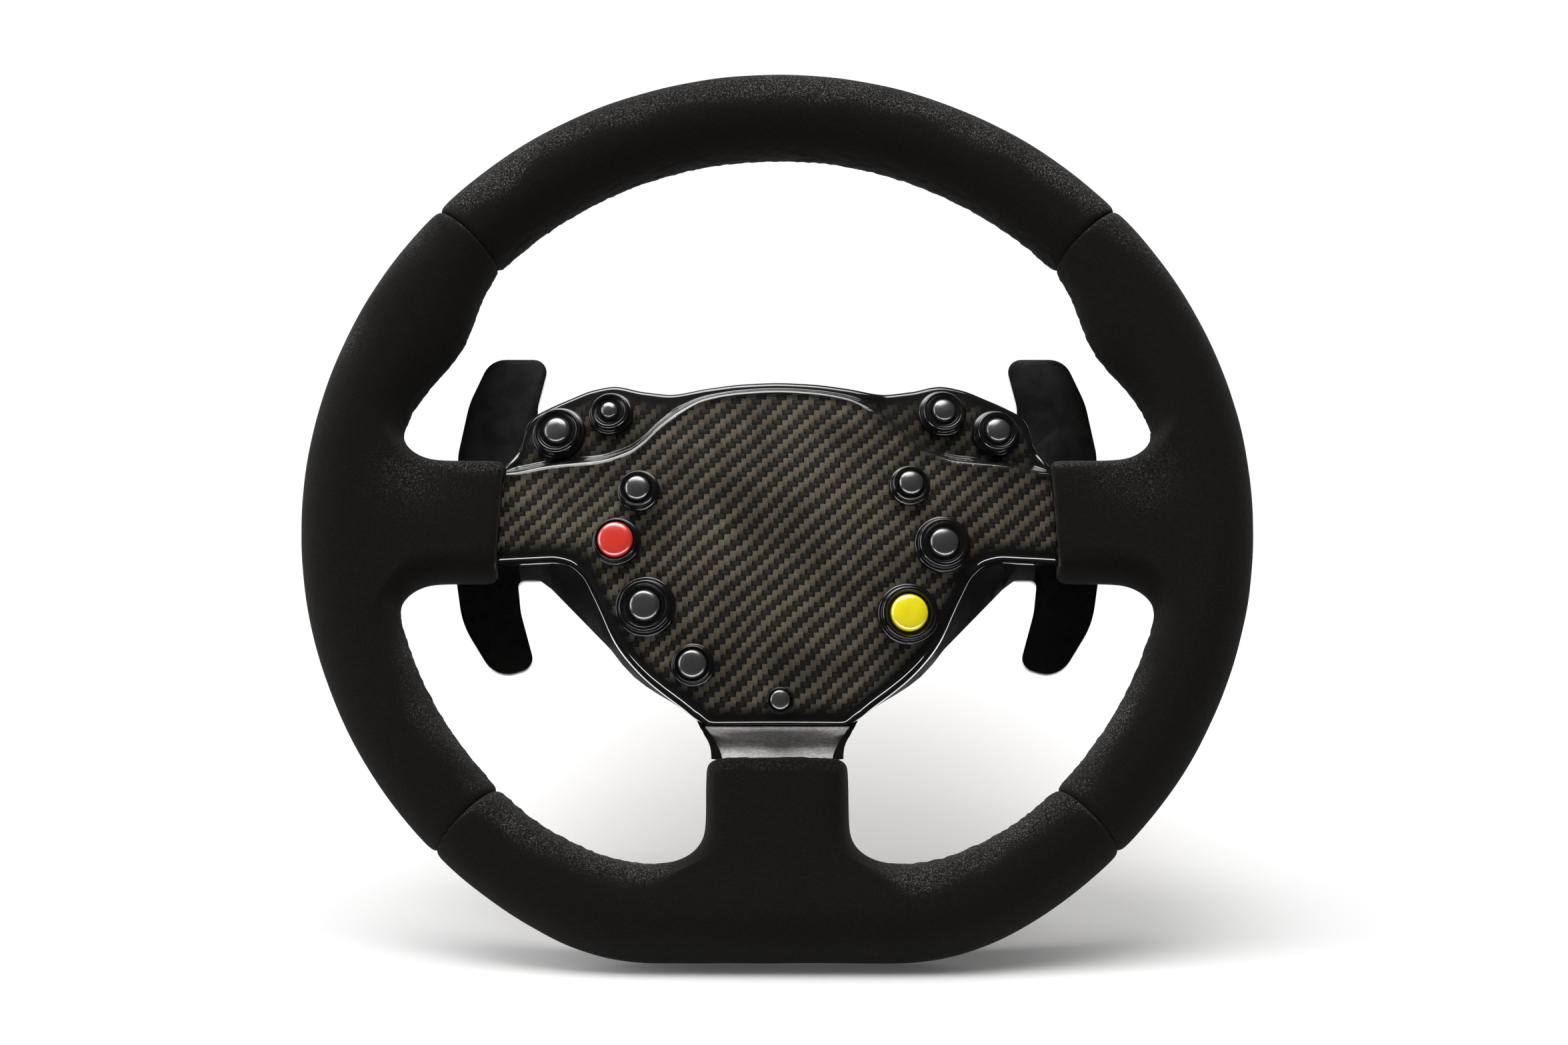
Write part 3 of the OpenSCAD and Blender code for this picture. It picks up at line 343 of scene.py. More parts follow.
# Materials: a small builder for node trees
class Nodes:
    """A material in the making. Its place is the Object coordinates."""

    def __init__(self, name):
        self.material = bpy.data.materials.new(name)
        self.material.use_nodes = True
        self.tree = self.material.node_tree
        self.tree.nodes.clear()
        self.out = self.add("ShaderNodeOutputMaterial")
        self.shader = self.add("ShaderNodeBsdfPrincipled")
        self.link(self.shader.outputs[0], self.out.inputs[0])
        self.place = self.add("ShaderNodeTexCoord").outputs["Object"]

    def add(self, kind, **settings):
        node = self.tree.nodes.new(kind)
        for key, value in settings.items():
            setattr(node, key, value)
        return node

    def link(self, a, b):
        self.tree.links.new(a, b)

    def feed(self, socket, value):
        if isinstance(value, bpy.types.NodeSocket):
            self.link(value, socket)
        else:
            socket.default_value = value

    def put(self, **values):
        """Sets or links the shader's own sockets."""
        for key, value in values.items():
            self.feed(self.shader.inputs[key.replace("_", " ")], value)

    def math(self, operation, a, b=0.0):
        node = self.add("ShaderNodeMath", operation=operation)
        for socket, value in zip(node.inputs, (a, b)):
            self.feed(socket, value)
        return node.outputs[0]

    def product(self, first, *others):
        for other in others:
            first = self.math("MULTIPLY", first, other)
        return first

    def split(self, vector):
        node = self.add("ShaderNodeSeparateXYZ")
        self.link(vector, node.inputs[0])
        return node.outputs

    def attribute(self, name):
        return self.add("ShaderNodeAttribute", attribute_name=name, attribute_type="GEOMETRY").outputs["Fac"]

    def blend(self, factor, a, b):
        """Shader b over shader a, by factor."""
        node = self.add("ShaderNodeMixShader")
        for socket, value in zip(node.inputs, (factor, a, b)):
            self.link(value, socket)
        return node.outputs[0]

    def noise(self, scale, detail=2.0, rough=0.5, stretch=None):
        node = self.add("ShaderNodeTexNoise")
        place = self.place
        if stretch:
            mapping = self.add("ShaderNodeMapping")
            mapping.inputs["Scale"].default_value = stretch
            self.link(place, mapping.inputs["Vector"])
            place = mapping.outputs[0]
        self.link(place, node.inputs["Vector"])
        for key, value in (("Scale", scale), ("Detail", detail), ("Roughness", rough)):
            node.inputs[key].default_value = value
        return node.outputs["Fac"]

    def span(self, value, low, high, to_low=0.0, to_high=1.0):
        node = self.add("ShaderNodeMapRange", interpolation_type="SMOOTHSTEP")
        for key, v in zip(("Value", "From Min", "From Max", "To Min", "To Max"), (value, low, high, to_low, to_high)):
            self.feed(node.inputs[key], v)
        return node.outputs[0]

    def mix(self, factor, a, b):
        node = self.add("ShaderNodeMix", data_type="RGBA")
        self.feed(node.inputs["Factor"], factor)
        for socket, value in zip(node.inputs[6:8], (a, b)):
            self.feed(socket, (*value, 1) if isinstance(value, tuple) else value)
        return node.outputs[2]

    def bump(self, height, distance, strength=1.0, normal=None):
        node = self.add("ShaderNodeBump")
        self.feed(node.inputs["Height"], height)
        node.inputs["Distance"].default_value = distance
        node.inputs["Strength"].default_value = strength
        if normal is not None:
            self.link(normal, node.inputs["Normal"])
        return node.outputs[0]


def suede_material(look):
    """Near-black suede: a matt ground with short, paler fibres that stand up in clumps, shown where the nap attribute
    holds painted light, so the clumps and pale specks are painted light.
    """
    m = Nodes("black_suede")
    clumps = m.noise(1700, 3, 0.7)
    fibres = m.noise(3600, 2, 0.65)
    brushed = m.noise(30, 4, 0.62)
    # The nap stands up in random clumps and brushing, and only where the nap attribute paints light.
    raised_and_lit = m.product(m.span(clumps, 0.42, 0.7), m.span(brushed, 0.36, 0.62, 0.6, 1.0),
                       m.span(m.attribute("nap"), 0.0, 1.0, 0.06, 1.0))
    tone = m.mix(raised_and_lit, tuple(look.suede_dark), tuple(look.suede_lit))
    # Pale specks show only where the nap is painted lit: painted glints.
    lit_speck = m.product(m.span(fibres, 0.54, 0.68), m.span(raised_and_lit, 0.05, 0.7, 0.02, 1.0))
    m.put(Base_Color=m.mix(lit_speck, tone, tuple(look.suede_speck)), Roughness=m.span(brushed, 0.3, 0.7, 0.86, 0.97))
    m.put(Specular_IOR_Level=0.02, Sheen_Weight=look.suede_sheen, Sheen_Roughness=0.4, Sheen_Tint=(0.64, 0.62, 0.6, 1))
    fine = m.bump(fibres, 0.00022, 0.8)
    m.put(Normal=m.bump(clumps, 0.0004, 0.75, fine))
    return m.material


def carbon_material(look):
    """Two-by-two twill under a clear lacquer: tows run upright and across, and each crosses two at a time.

    The tones are painted reflection and shade: the upright tows are painted lit and those across painted shaded, each
    with painted shade towards its ends and sides. Towards the rolled edges, where the mesh's weave attribute falls,
    the cloth is plain and dark, as painted shade.
    """
    m = Nodes("twill_carbon")
    cloud = m.add("ShaderNodeTexNoise")
    m.link(m.place, cloud.inputs["Vector"])
    cloud.inputs["Scale"].default_value = 42
    cloud.inputs["Detail"].default_value = 2
    wobble = m.add("ShaderNodeVectorMath", operation="SCALE")
    m.link(cloud.outputs["Color"], wobble.inputs[0])
    wobble.inputs["Scale"].default_value = 0.0032
    moved = m.add("ShaderNodeVectorMath", operation="ADD")
    m.link(m.place, moved.inputs[0])
    m.link(wobble.outputs[0], moved.inputs[1])
    spot = m.split(moved.outputs[0])
    u, v = (m.math("DIVIDE", spot[axis], look.tow_width) for axis in "XZ")
    fu, fv = m.math("FRACT", u), m.math("FRACT", v)
    turn = m.math("FLOORED_MODULO", m.math("SUBTRACT", m.math("FLOOR", u), m.math("FLOOR", v)), 4.0)
    upright = m.math("LESS_THAN", turn, 1.5)
    level = m.math("SUBTRACT", 1.0, upright)
    half = m.math("FLOORED_MODULO", turn, 2.0)

    def either(a, b):
        """a on the upright tows, and b on those that run across."""
        return m.math("ADD", m.math("MULTIPLY", a, upright), m.math("MULTIPLY", b, level))

    along = either(m.math("DIVIDE", m.math("ADD", m.math("SUBTRACT", 1.0, half), fv), 2.0),
                   m.math("DIVIDE", m.math("ADD", half, fu), 2.0))
    across = either(fu, fv)
    arch = m.math("SINE", m.math("MULTIPLY", across, math.pi))
    swell = m.math("SINE", m.math("MULTIPLY", along, math.pi))
    threads = either(m.noise(1.0, 2, 0.6, stretch=(4200, 4200, 500)), m.noise(1.0, 2, 0.6, stretch=(500, 4200, 4200)))
    patches = m.noise(48, 3, 0.62)
    grain = m.noise(1500, 2, 0.6)
    edge = m.attribute("weave_light")
    # Painted light on the upright tows: darker towards their lower ends and sides, and fading with the weave
    # attribute.
    lit = m.product(m.span(along, 0.0, 0.5, 0.6, 1.0), m.span(along, 0.9, 1.0, 1.0, 0.8),
                    m.span(arch, 0.0, 0.6, 0.82, 1.0), m.span(threads, 0.25, 0.75, 0.72, 1.12),
                    m.span(grain, 0.3, 0.7, 0.78, 1.1), m.span(patches, 0.3, 0.72, 0.55, 1.15), edge)
    plain = (0.0042, 0.0038, 0.0034)
    light = m.mix(lit, plain, tuple(look.carbon_lit))
    # Painted shade on the tows across: darker towards their ends and sides, and fading with the weave attribute.
    across_lit = m.product(swell, m.span(arch, 0.0, 0.8, 0.5, 1.0), m.span(patches, 0.3, 0.72, 0.4, 1.3), edge)
    dark = m.mix(across_lit, plain, tuple(look.carbon_shaded))
    m.put(Base_Color=m.mix(upright, dark, light), Roughness=m.span(threads, 0.2, 0.8, 0.6, 0.45))
    relief = m.product(m.math("ADD", m.product(swell, arch, 0.8), m.product(threads, 0.25)), edge)
    m.put(Normal=m.bump(relief, 0.00022, 0.7))
    m.put(Specular_IOR_Level=0.04, Coat_Weight=1.0, Coat_Roughness=0.07, Coat_IOR=1.5)
    swirl = m.product(m.noise(75, 3, 0.55), m.span(edge, 0.0, 1.0, 0.25, 1.0))
    waves = m.math("ADD", m.product(relief, 0.08), swirl)
    m.put(Coat_Normal=m.bump(waves, 0.0007, 0.5))
    return m.material


def cloud_over(m, mask, color, darker, rough, spread, **others):
    """Tones down a colour, and spreads its roughness, where the mask is low."""
    tone = m.mix(m.span(mask[0], 0.3, 0.7), tuple(c * darker for c in color), tuple(color))
    m.put(Base_Color=tone, Roughness=m.span(mask[-1], 0.3, 0.7, rough * (1 - spread), rough * (1 + spread)), **others)


def plastic_material(name, color, rough, grain=2600, depth=0.00002, specular=0.5):
    """Moulded plastic, faintly clouded, with a fine grain."""
    m = Nodes(name)
    cloud_over(m, [m.noise(120, 3, 0.6)], color, 0.78, rough, 0.12)
    m.put(Specular_IOR_Level=specular)
    m.put(Normal=m.bump(m.noise(grain, 3, 0.6), depth, 0.6))
    return m.material


def metal_material(name, color, rough, grain=900, stretch=None, depth=0.00003, metallic=1.0):
    """Metal whose tone follows its grain, with uneven gloss."""
    m = Nodes(name)
    fine = m.noise(grain, 4, 0.65, stretch=stretch)
    cloud_over(m, [fine, m.noise(70, 3, 0.6)], color, 0.7, rough, 0.15, Metallic=metallic)
    m.put(Normal=m.bump(fine, depth, 0.7))
    return m.material


def trim_material():
    """Dark blasted metal, rubbed paler in short level streaks, with painted shade at the top under the fascia and
    painted light towards the lower edge.
    """
    m = Nodes("grained_metal")
    streaks = m.noise(1.0, 3, 0.65, stretch=(900, 1500, 2900))
    pits = m.noise(2300, 2, 0.6)
    paler_tone = m.noise(1.0, 3, 0.6, stretch=(130, 300, 420))
    tone = m.product(m.span(streaks, 0.3, 0.72, 0.25, 1.0), m.span(paler_tone, 0.3, 0.7, 0.55, 1.0))
    # Painted shade and light: darker at the top under the fascia, paler towards the lower edge.
    low = m.span(m.split(m.place)["Z"], -0.0705, -0.083)
    dark = m.mix(low, (0.075, 0.069, 0.065), (0.17, 0.163, 0.158))
    pale = m.mix(low, (0.27, 0.25, 0.235), (0.5, 0.485, 0.47))
    m.put(Base_Color=m.mix(tone, dark, pale), Metallic=0.3, Roughness=m.span(pits, 0.3, 0.7, 0.6, 0.5))
    m.put(Normal=m.bump(m.math("ADD", streaks, pits), 0.00008, 0.7))
    return m.material


def cap_material(name, color, rough=0.3):
    """Moulded plastic with a thin gloss and faint clouding."""
    m = Nodes(name)
    cloud_over(m, [m.noise(240, 3, 0.6)], color, 0.95, rough, 0.08)
    m.put(Coat_Weight=1.0, Coat_Roughness=0.2)
    m.put(Normal=m.bump(m.noise(2400, 2, 0.5), 0.000012, 0.5))
    return m.material


def board_material():
    """Green solder mask with fine copper tracks."""
    m = Nodes("solder_mask")
    tracks = m.add("ShaderNodeTexVoronoi", feature="DISTANCE_TO_EDGE", distance="CHEBYCHEV")
    m.link(m.place, tracks.inputs["Vector"])
    tracks.inputs["Scale"].default_value = 160
    line = m.span(tracks.outputs["Distance"], 0.02, 0.06)
    m.put(Base_Color=m.mix(line, (0.05, 0.22, 0.07), (0.012, 0.1, 0.035)), Roughness=0.35)
    return m.material


MATERIALS = {}


def make_materials(look):
    M = MATERIALS
    M["suede"] = suede_material(look)
    M["carbon"] = carbon_material(look)
    M["trim"] = trim_material()
    M["housing"] = plastic_material("housing_plastic", (0.006, 0.0054, 0.005), 0.75, 1800, 0.00003, 0.04)
    M["collar"] = plastic_material("collar_plastic", (0.0065, 0.0065, 0.007), 0.16, 3000, 0.000003)
    M["socket"] = plastic_material("socket_plastic", (0.016, 0.016, 0.017), 0.5)
    M["switch"] = plastic_material("switch_plastic", (0.02, 0.02, 0.021), 0.45)
    M["foam"] = plastic_material("moulded_foam", (0.03, 0.03, 0.031), 0.85, 900, 0.0002)
    M["cap_grey"] = cap_material("grey_cap", tuple(look.cap_grey))
    M["cap_red"] = cap_material("red_cap", tuple(look.cap_red))
    M["cap_yellow"] = cap_material("yellow_cap", tuple(look.cap_yellow))
    M["paddle"] = plastic_material("blasted_black_metal", (0.0075, 0.0069, 0.0063), 0.28, 2400, 0.00001, 0.35)
    M["frame"] = metal_material("cast_metal", (0.5, 0.51, 0.53), 0.45, 600)
    M["hub"] = metal_material("turned_metal", (0.62, 0.63, 0.65), 0.3, 40, (1, 60, 1), 0.00001)
    M["screw"] = metal_material("black_oxide_steel", (0.07, 0.07, 0.075), 0.35, 1500)
    M["pin"] = metal_material("ground_steel", (0.6, 0.61, 0.62), 0.22, 1500)
    M["bracket"] = metal_material("satin_black_bracket", (0.02, 0.02, 0.021), 0.45, 1500, None, 0.00002, 0.4)
    M["magnet"] = metal_material("nickel_plate", (0.68, 0.66, 0.62), 0.2, 1500)
    M["board"] = board_material()


class WheelLook(bpy.types.PropertyGroup):
    suede_dark: FloatVectorProperty(name="Suede Shade", description="Darkest tone of the suede", subtype="COLOR",
                                    min=0, max=1, default=(0.0066, 0.0061, 0.0055))
    # The nap's tone is the suede painted lit.
    suede_lit: FloatVectorProperty(name="Suede Nap", description="Tone of the raised nap", subtype="COLOR",
                                     min=0, max=1, default=(0.06, 0.0575, 0.054))
    # The palest fibres show only where the nap is painted lit, as painted glints.
    suede_speck: FloatVectorProperty(name="Suede Speck", description="Tone of the palest fibres", subtype="COLOR",
                                     min=0, max=1, default=(0.42, 0.4, 0.375))
    suede_sheen: FloatProperty(name="Suede Sheen", description="Strength of the sheen on the nap",
                               min=0, max=1, default=0.09)
    # The two tow tones are painted reflection: the upright tows painted lit and the tows across painted shaded.
    carbon_lit: FloatVectorProperty(name="Carbon Light", description="Tone of the upright tows", subtype="COLOR",
                                      min=0, max=1, default=(0.135, 0.114, 0.085))
    carbon_shaded: FloatVectorProperty(name="Carbon Dark", description="Tone of the tows that run across",
                                     subtype="COLOR", min=0, max=1, default=(0.026, 0.0225, 0.0175))
    tow_width: FloatProperty(name="Tow Width", description="Width of one carbon tow", unit="LENGTH",
                             min=0.0005, max=0.004, default=0.00176)
    cap_grey: FloatVectorProperty(name="Grey Caps", description="Colour of most caps", subtype="COLOR",
                                  min=0, max=1, default=(0.035, 0.035, 0.036))
    cap_red: FloatVectorProperty(name="Red Cap", description="Colour of the red cap", subtype="COLOR",
                                 min=0, max=1, default=(0.68, 0.034, 0.02))
    cap_yellow: FloatVectorProperty(name="Yellow Cap", description="Colour of the yellow cap", subtype="COLOR",
                                    min=0, max=1, default=(0.95, 0.8, 0.004))


class WheelShape(bpy.types.PropertyGroup):
    cover_levels: IntProperty(name="Cover Levels", description="Subdivisions of the suede covers",
                              min=1, max=3, default=3)
    wrinkle: FloatProperty(name="Wrinkle Depth", description="Depth of the soft waves in the suede", unit="LENGTH",
                           min=0, max=0.001, default=0.0002)
    fascia_columns: IntProperty(name="Fascia Columns", description="Columns of the fascia's grid",
                                min=60, max=400, default=300)
    fascia_rows: IntProperty(name="Fascia Rows", description="Rows of the fascia's grid",
                             min=40, max=160, default=120)
    shell: FloatProperty(name="Fascia Thickness", description="Thickness of the fascia", unit="LENGTH",
                         min=0.001, max=0.003, default=0.0016)
    turn_steps: IntProperty(name="Turn Steps", description="Steps around each button", min=24, max=128, default=72)


class WheelStage(bpy.types.PropertyGroup):
    camera_distance: FloatProperty(name="Camera Distance", description="From the camera to the rim's centre",
                                   unit="LENGTH", min=0.5, max=4, default=1.6)
    camera_rise: FloatProperty(name="Camera Tilt", description="Angle at which the camera looks up at the wheel",
                               subtype="ANGLE", min=0, max=1, default=math.radians(16))
    lens: FloatProperty(name="Lens", description="Focal length in millimetres", min=35, max=200, default=109.4)
    floor_slope: FloatProperty(name="Floor Slope", description="Angle of the floor to the wheel's axis",
                               subtype="ANGLE", min=0, max=1, default=math.radians(26))


class WHEEL_OT_covers(bpy.types.Operator):
    """Makes the suede covers, smooth, with rounded hems and soft waves in the suede"""
    bl_idname = "wheel.covers"
    bl_label = "Suede Covers"

    def execute(self, context):
        shape = context.scene.wheel_shape
        for node in COVERS:
            obj = copy_of(node, "suede_" + node)
            self.open_inside(obj)
            bpy.ops.object.mode_set(mode="EDIT")
            bpy.ops.mesh.select_all(action="SELECT")
            bpy.ops.mesh.tris_convert_to_quads(face_threshold=math.radians(60), shape_threshold=math.radians(75))
            bpy.ops.object.mode_set(mode="OBJECT")
            self.close_ends(obj)
            apply(obj, "SUBSURF", levels=shape.cover_levels, render_levels=shape.cover_levels)
            self.relax(obj)
            self.wave(obj, shape.wrinkle)
            slant(obj)
            self.brush(obj)
            pick(obj)
            bpy.ops.object.shade_smooth()
            finish(obj, WHEEL, "suede", MATERIALS["suede"], node)
        return {"FINISHED"}

    def open_inside(self, obj):
        """Deletes the hollow for the foam, which the closed ends hide."""
        pick(obj)
        bpy.ops.object.mode_set(mode="EDIT")
        bpy.ops.mesh.select_all(action="DESELECT")
        bm = bmesh.from_edit_mesh(obj.data)
        for v in bm.verts:
            p = Vector((v.co.x / MM, v.co.y / MM + HUB_Y, v.co.z / MM))
            side = abs(p.y) < HOLLOW_Y and abs(p.z) < HOLLOW_Z and abs(p.x) > SLEEVE_END + HOLLOW_GAP
            low = abs(p.y) < HOLLOW_Y and abs(p.x) < HOLLOW_X and p.z < -DROP_END - HOLLOW_GAP
            slot = abs(p.y) < SLOT_Y and (abs(p.z) < SLOT_Z or (abs(p.x) < SLOT_Z and p.z < 0))
            sleeve = slot or (side and self.kind(obj) == "side") or (low and self.kind(obj) == "low")
            v.select = rim_way(p) < FOAM_R + FOAM_GAP or (sleeve and abs(p.x) < LINE_R and p.z > -LINE_FLAT)
        bm.select_flush_mode()
        bmesh.update_edit_mesh(obj.data)
        bpy.ops.mesh.delete(type="VERT")
        bpy.ops.object.mode_set(mode="OBJECT")

    def kind(self, obj):
        """Where the cover's sleeve is: side, low or none."""
        return "low" if "bottom" in obj.name else "none" if "top" in obj.name else "side"

    def close_ends(self, obj):
        """Turns each open end in on itself and closes it."""
        turned, inner = 0.8, 0.35
        pick(obj)
        bpy.ops.object.mode_set(mode="EDIT")
        bm = bmesh.from_edit_mesh(obj.data)
        left = [e for e in bm.edges if e.is_boundary]
        loops = []
        while left:
            chain, front = [], [left.pop(0)]
            while front:
                e = front.pop()
                chain.append(e)
                for v in e.verts:
                    for other in v.link_edges:
                        if other in left:
                            left.remove(other)
                            front.append(other)
            loops.append(chain)
        for chain in loops:
            made = bmesh.ops.extrude_edge_only(bm, edges=chain)
            ring = [g for g in made["geom"] if isinstance(g, bmesh.types.BMVert)]
            middle = sum((v.co for v in ring), Vector()) / len(ring)
            for v in ring:
                v.co = middle + (v.co - middle) * turned
            edges = [g for g in made["geom"] if isinstance(g, bmesh.types.BMEdge)]
            edges = [e for e in edges if all(v in ring for v in e.verts)]
            made = bmesh.ops.extrude_edge_only(bm, edges=edges)
            core = [g for g in made["geom"] if isinstance(g, bmesh.types.BMVert)]
            for v in core:
                v.co = middle + (v.co - middle) * inner
            bmesh.ops.pointmerge(bm, verts=core, merge_co=middle)
        bmesh.ops.recalc_face_normals(bm, faces=bm.faces[:])
        bmesh.update_edit_mesh(obj.data)
        bpy.ops.object.mode_set(mode="OBJECT")

    def relax(self, obj):
        """Evens out the fillets between the rim and the sleeves."""
        kind = self.kind(obj)
        if kind == "none":
            return
        group = obj.vertex_groups.new(name="fillet")
        for v in obj.data.vertices:
            p = v.co / MM
            out, along, middle = (abs(p.x), abs(p.z), FILLET_SIDE) if kind == "side" else (-p.z, abs(p.x), FILLET_LOW)
            weight = ease((FILLET_HALF - abs(out - middle)) / 8) * ease((FILLET_REACH - along) / 10)
            if weight > 0:
                group.add([v.index], weight, "REPLACE")
        apply(obj, "SMOOTH", factor=0.6, iterations=45, vertex_group="fillet")

    def wave(self, obj, depth):
        """Moves the surface along its normals: soft waves all over, and a fine ruck along the rim's inner side."""
        thick = 0.22
        mesh = obj.data
        normals = [v.normal.copy() for v in mesh.vertices]
        for v, n in zip(mesh.vertices, normals):
            p = v.co / MM
            soft = noise.noise(p * 0.03) * 0.9 + noise.noise(p * 0.075 + Vector((9, 2, 5))) * 0.5
            inward = ease((-(n.x * p.x + n.z * p.z) / math.hypot(p.x, p.z) - 0.8) / 0.2)
            ruck = inward * (noise.noise(p * 0.42) * 0.42 + noise.noise(p * 0.95) * 0.25)
            v.co += n * (thick * MM + soft * depth + ruck * MM)
        mesh.update()

    def brush(self, obj):
        """Stores painted light in the nap attribute: the nap is painted lit on the sides that face up, more on the top
        cover, less on a fillet patch of the side covers and in the bottom sleeve's middle, and painted lit on a patch
        where the side fillets face the driver and on the bottom sleeve's hem.
        """
        kind = self.kind(obj)
        nap = obj.data.attributes.new("nap", "FLOAT", "POINT")
        for v, out in zip(obj.data.vertices, nap.data):
            p = v.co / MM
            lift = 0.2 if kind == "none" else -0.05
            lit = ease((v.normal.z + 0.3 * noise.noise(p * 0.05) + lift) / 0.65)
            paler_tone = hem = 0.0
            if kind == "side":
                # Painted light: less on a patch of the side fillets, and a patch painted lit where the fillets face
                # the driver.
                lit *= 1 - 0.7 * patch(p, *DIMMED_PATCH)
                paler_tone = 0.5 * patch(p, *LIT_PATCH)
            elif kind == "low":
                lit *= ease((abs(p.x) - 22) / 26)
                hem = HEM_LIGHT if p.z > -DROP_END - HEM and abs(p.x) < HOLLOW_X + 1.3 else 0.0
            out.value = max(lit, paler_tone * ease(-2 * v.normal.y), hem)


class WHEEL_OT_fascia(bpy.types.Operator):
    """Makes the domed carbon fascia from a grid, with its ridge, rolled edges and button holes"""
    bl_idname = "wheel.fascia"
    bl_label = "Carbon Fascia"

    def execute(self, context):
        shape = context.scene.wheel_shape
        deselect()
        bpy.ops.mesh.primitive_grid_add(x_subdivisions=shape.fascia_columns, y_subdivisions=shape.fascia_rows, size=2)
        obj = bpy.context.object
        obj.name = "carbon_fascia"
        for v in obj.data.vertices:
            x = v.co.x * HALF
            z = self.row_height((v.co.y + 1) / 2, x)
            v.co = Vector((x * MM, (-face_height(x, z) - HUB_Y) * MM, z * MM))
        self.mark(obj)
        pick(obj)
        bpy.ops.object.mode_set(mode="EDIT")
        bpy.ops.mesh.select_all(action="SELECT")
        bpy.ops.mesh.normals_make_consistent(inside=False)
        bpy.ops.object.mode_set(mode="OBJECT")
        if sum(p.normal.y for p in obj.data.polygons) > 0:
            obj.data.flip_normals()
        self.lip(obj)
        apply(obj, "SOLIDIFY", thickness=shape.shell, offset=-1, use_even_offset=False)
        self.holes(obj)
        slant(obj)
        smooth(obj, 42)
        finish(obj, WHEEL, "carbon", MATERIALS["carbon"], "fascia")
        return {"FINISHED"}

    def mark(self, obj):
        """Stores how much of the twill's painted light shows: none on the rolled edges, little down the step to the
        wings, and half on the wings, which are painted shaded as a recess behind the step.
        """
        weave_light = obj.data.attributes.new("weave_light", "FLOAT", "POINT")
        for v, out in zip(obj.data.vertices, weave_light.data):
            x, z = v.co.x / MM, v.co.z / MM
            rim = ease((min(edge_ways(x, z)) - 2.6) / 5.5)
            step = 1 - 0.85 * math.exp(-((z - curve(RIDGES, x)) / 3.2) ** 2)
            # Painted shade: the wings, recessed behind the step, get half the twill's light.
            wing_shade = 1 - 0.5 * ease((z - curve(RIDGES, x)) / 4)
            out.value = rim * step * wing_shade

    def row_height(self, t, x):
        """Place of a row, from 0 at the lower edge to 1 at the upper: closer over the rolled edges and the ridge."""
        low, ridge, top = curve(LOWS, x), curve(RIDGES, x), curve(TOPS, x)
        low_end, top_end = 0.17, 0.84
        stops = [(0.0, low), (low_end, low + ROLL * lean(LOWS, x)), (0.55, ridge - 4.4),
                 (0.76, ridge + min(3.2, 0.34 * (top - ridge))),
                 (top_end, max(top - TOP_ROLL * lean(TOPS, x), ridge + 1.4)), (1.0, top)]
        for (t0, z0), (t1, z1) in zip(stops, stops[1:]):
            if t <= t1:
                f = (t - t0) / (t1 - t0)
                if t1 == low_end:
                    f = 1 - math.cos(f * math.pi / 2)
                if t0 == top_end:
                    f = math.sin(f * math.pi / 2)
                return z0 + (z1 - z0) * f
        return top

    def lip(self, obj):
        """Carries the rolled edges straight back."""
        def at_end(v):
            return abs(abs(v.co.x) - HALF * MM) < 1e-6

        bpy.ops.object.mode_set(mode="EDIT")
        bm = bmesh.from_edit_mesh(obj.data)
        edge = [e for e in bm.edges if e.is_boundary and not all(at_end(v) for v in e.verts)]
        made = bmesh.ops.extrude_edge_only(bm, edges=edge)
        for v in (g for g in made["geom"] if isinstance(g, bmesh.types.BMVert)):
            x, z = v.co.x / MM, v.co.z / MM
            roll = TOP_ROLL if z > (curve(TOPS, x) + curve(LOWS, x)) / 2 else low_roll(x)
            v.co.y += (LIP + ROLL - roll) * MM
        bmesh.ops.recalc_face_normals(bm, faces=bm.faces[:])
        bmesh.update_edit_mesh(obj.data)
        bpy.ops.object.mode_set(mode="OBJECT")
        if sum(p.normal.y for p in obj.data.polygons) > 0:
            obj.data.flip_normals()

    def holes(self, obj):
        """Cuts the buttons' holes."""
        for i, button in enumerate(BUTTONS):
            deselect()
            r = button[2] / 2 + HOLE_GAP
            bpy.ops.mesh.primitive_cylinder_add(vertices=64, radius=r * MM, depth=12 * MM)
            cutter = bpy.context.object
            move_mesh(cutter, button_place(i) @ Matrix.Rotation(math.pi / 2, 4, "X"))
            m = obj.modifiers.new("Hole", "BOOLEAN")
            m.operation, m.solver, m.object = "DIFFERENCE", "EXACT", cutter
            pick(obj)
            bpy.ops.object.modifier_apply(modifier=m.name)
            bpy.data.objects.remove(cutter)


def button_place(i):
    """Places a turned piece, whose heights run towards the driver, on the face."""
    x, z = BUTTONS[i][:2]
    lift = STEP if z > curve(RIDGES, x) else 0.0
    spot = Matrix.Translation(Vector((x, -dome(x, z) + lift - HUB_Y, z)) * MM)
    return spot @ Matrix.Rotation(math.atan(x / DOME_R), 4, "Z") @ Matrix.Rotation(-math.atan(z / DOME_R), 4, "X")


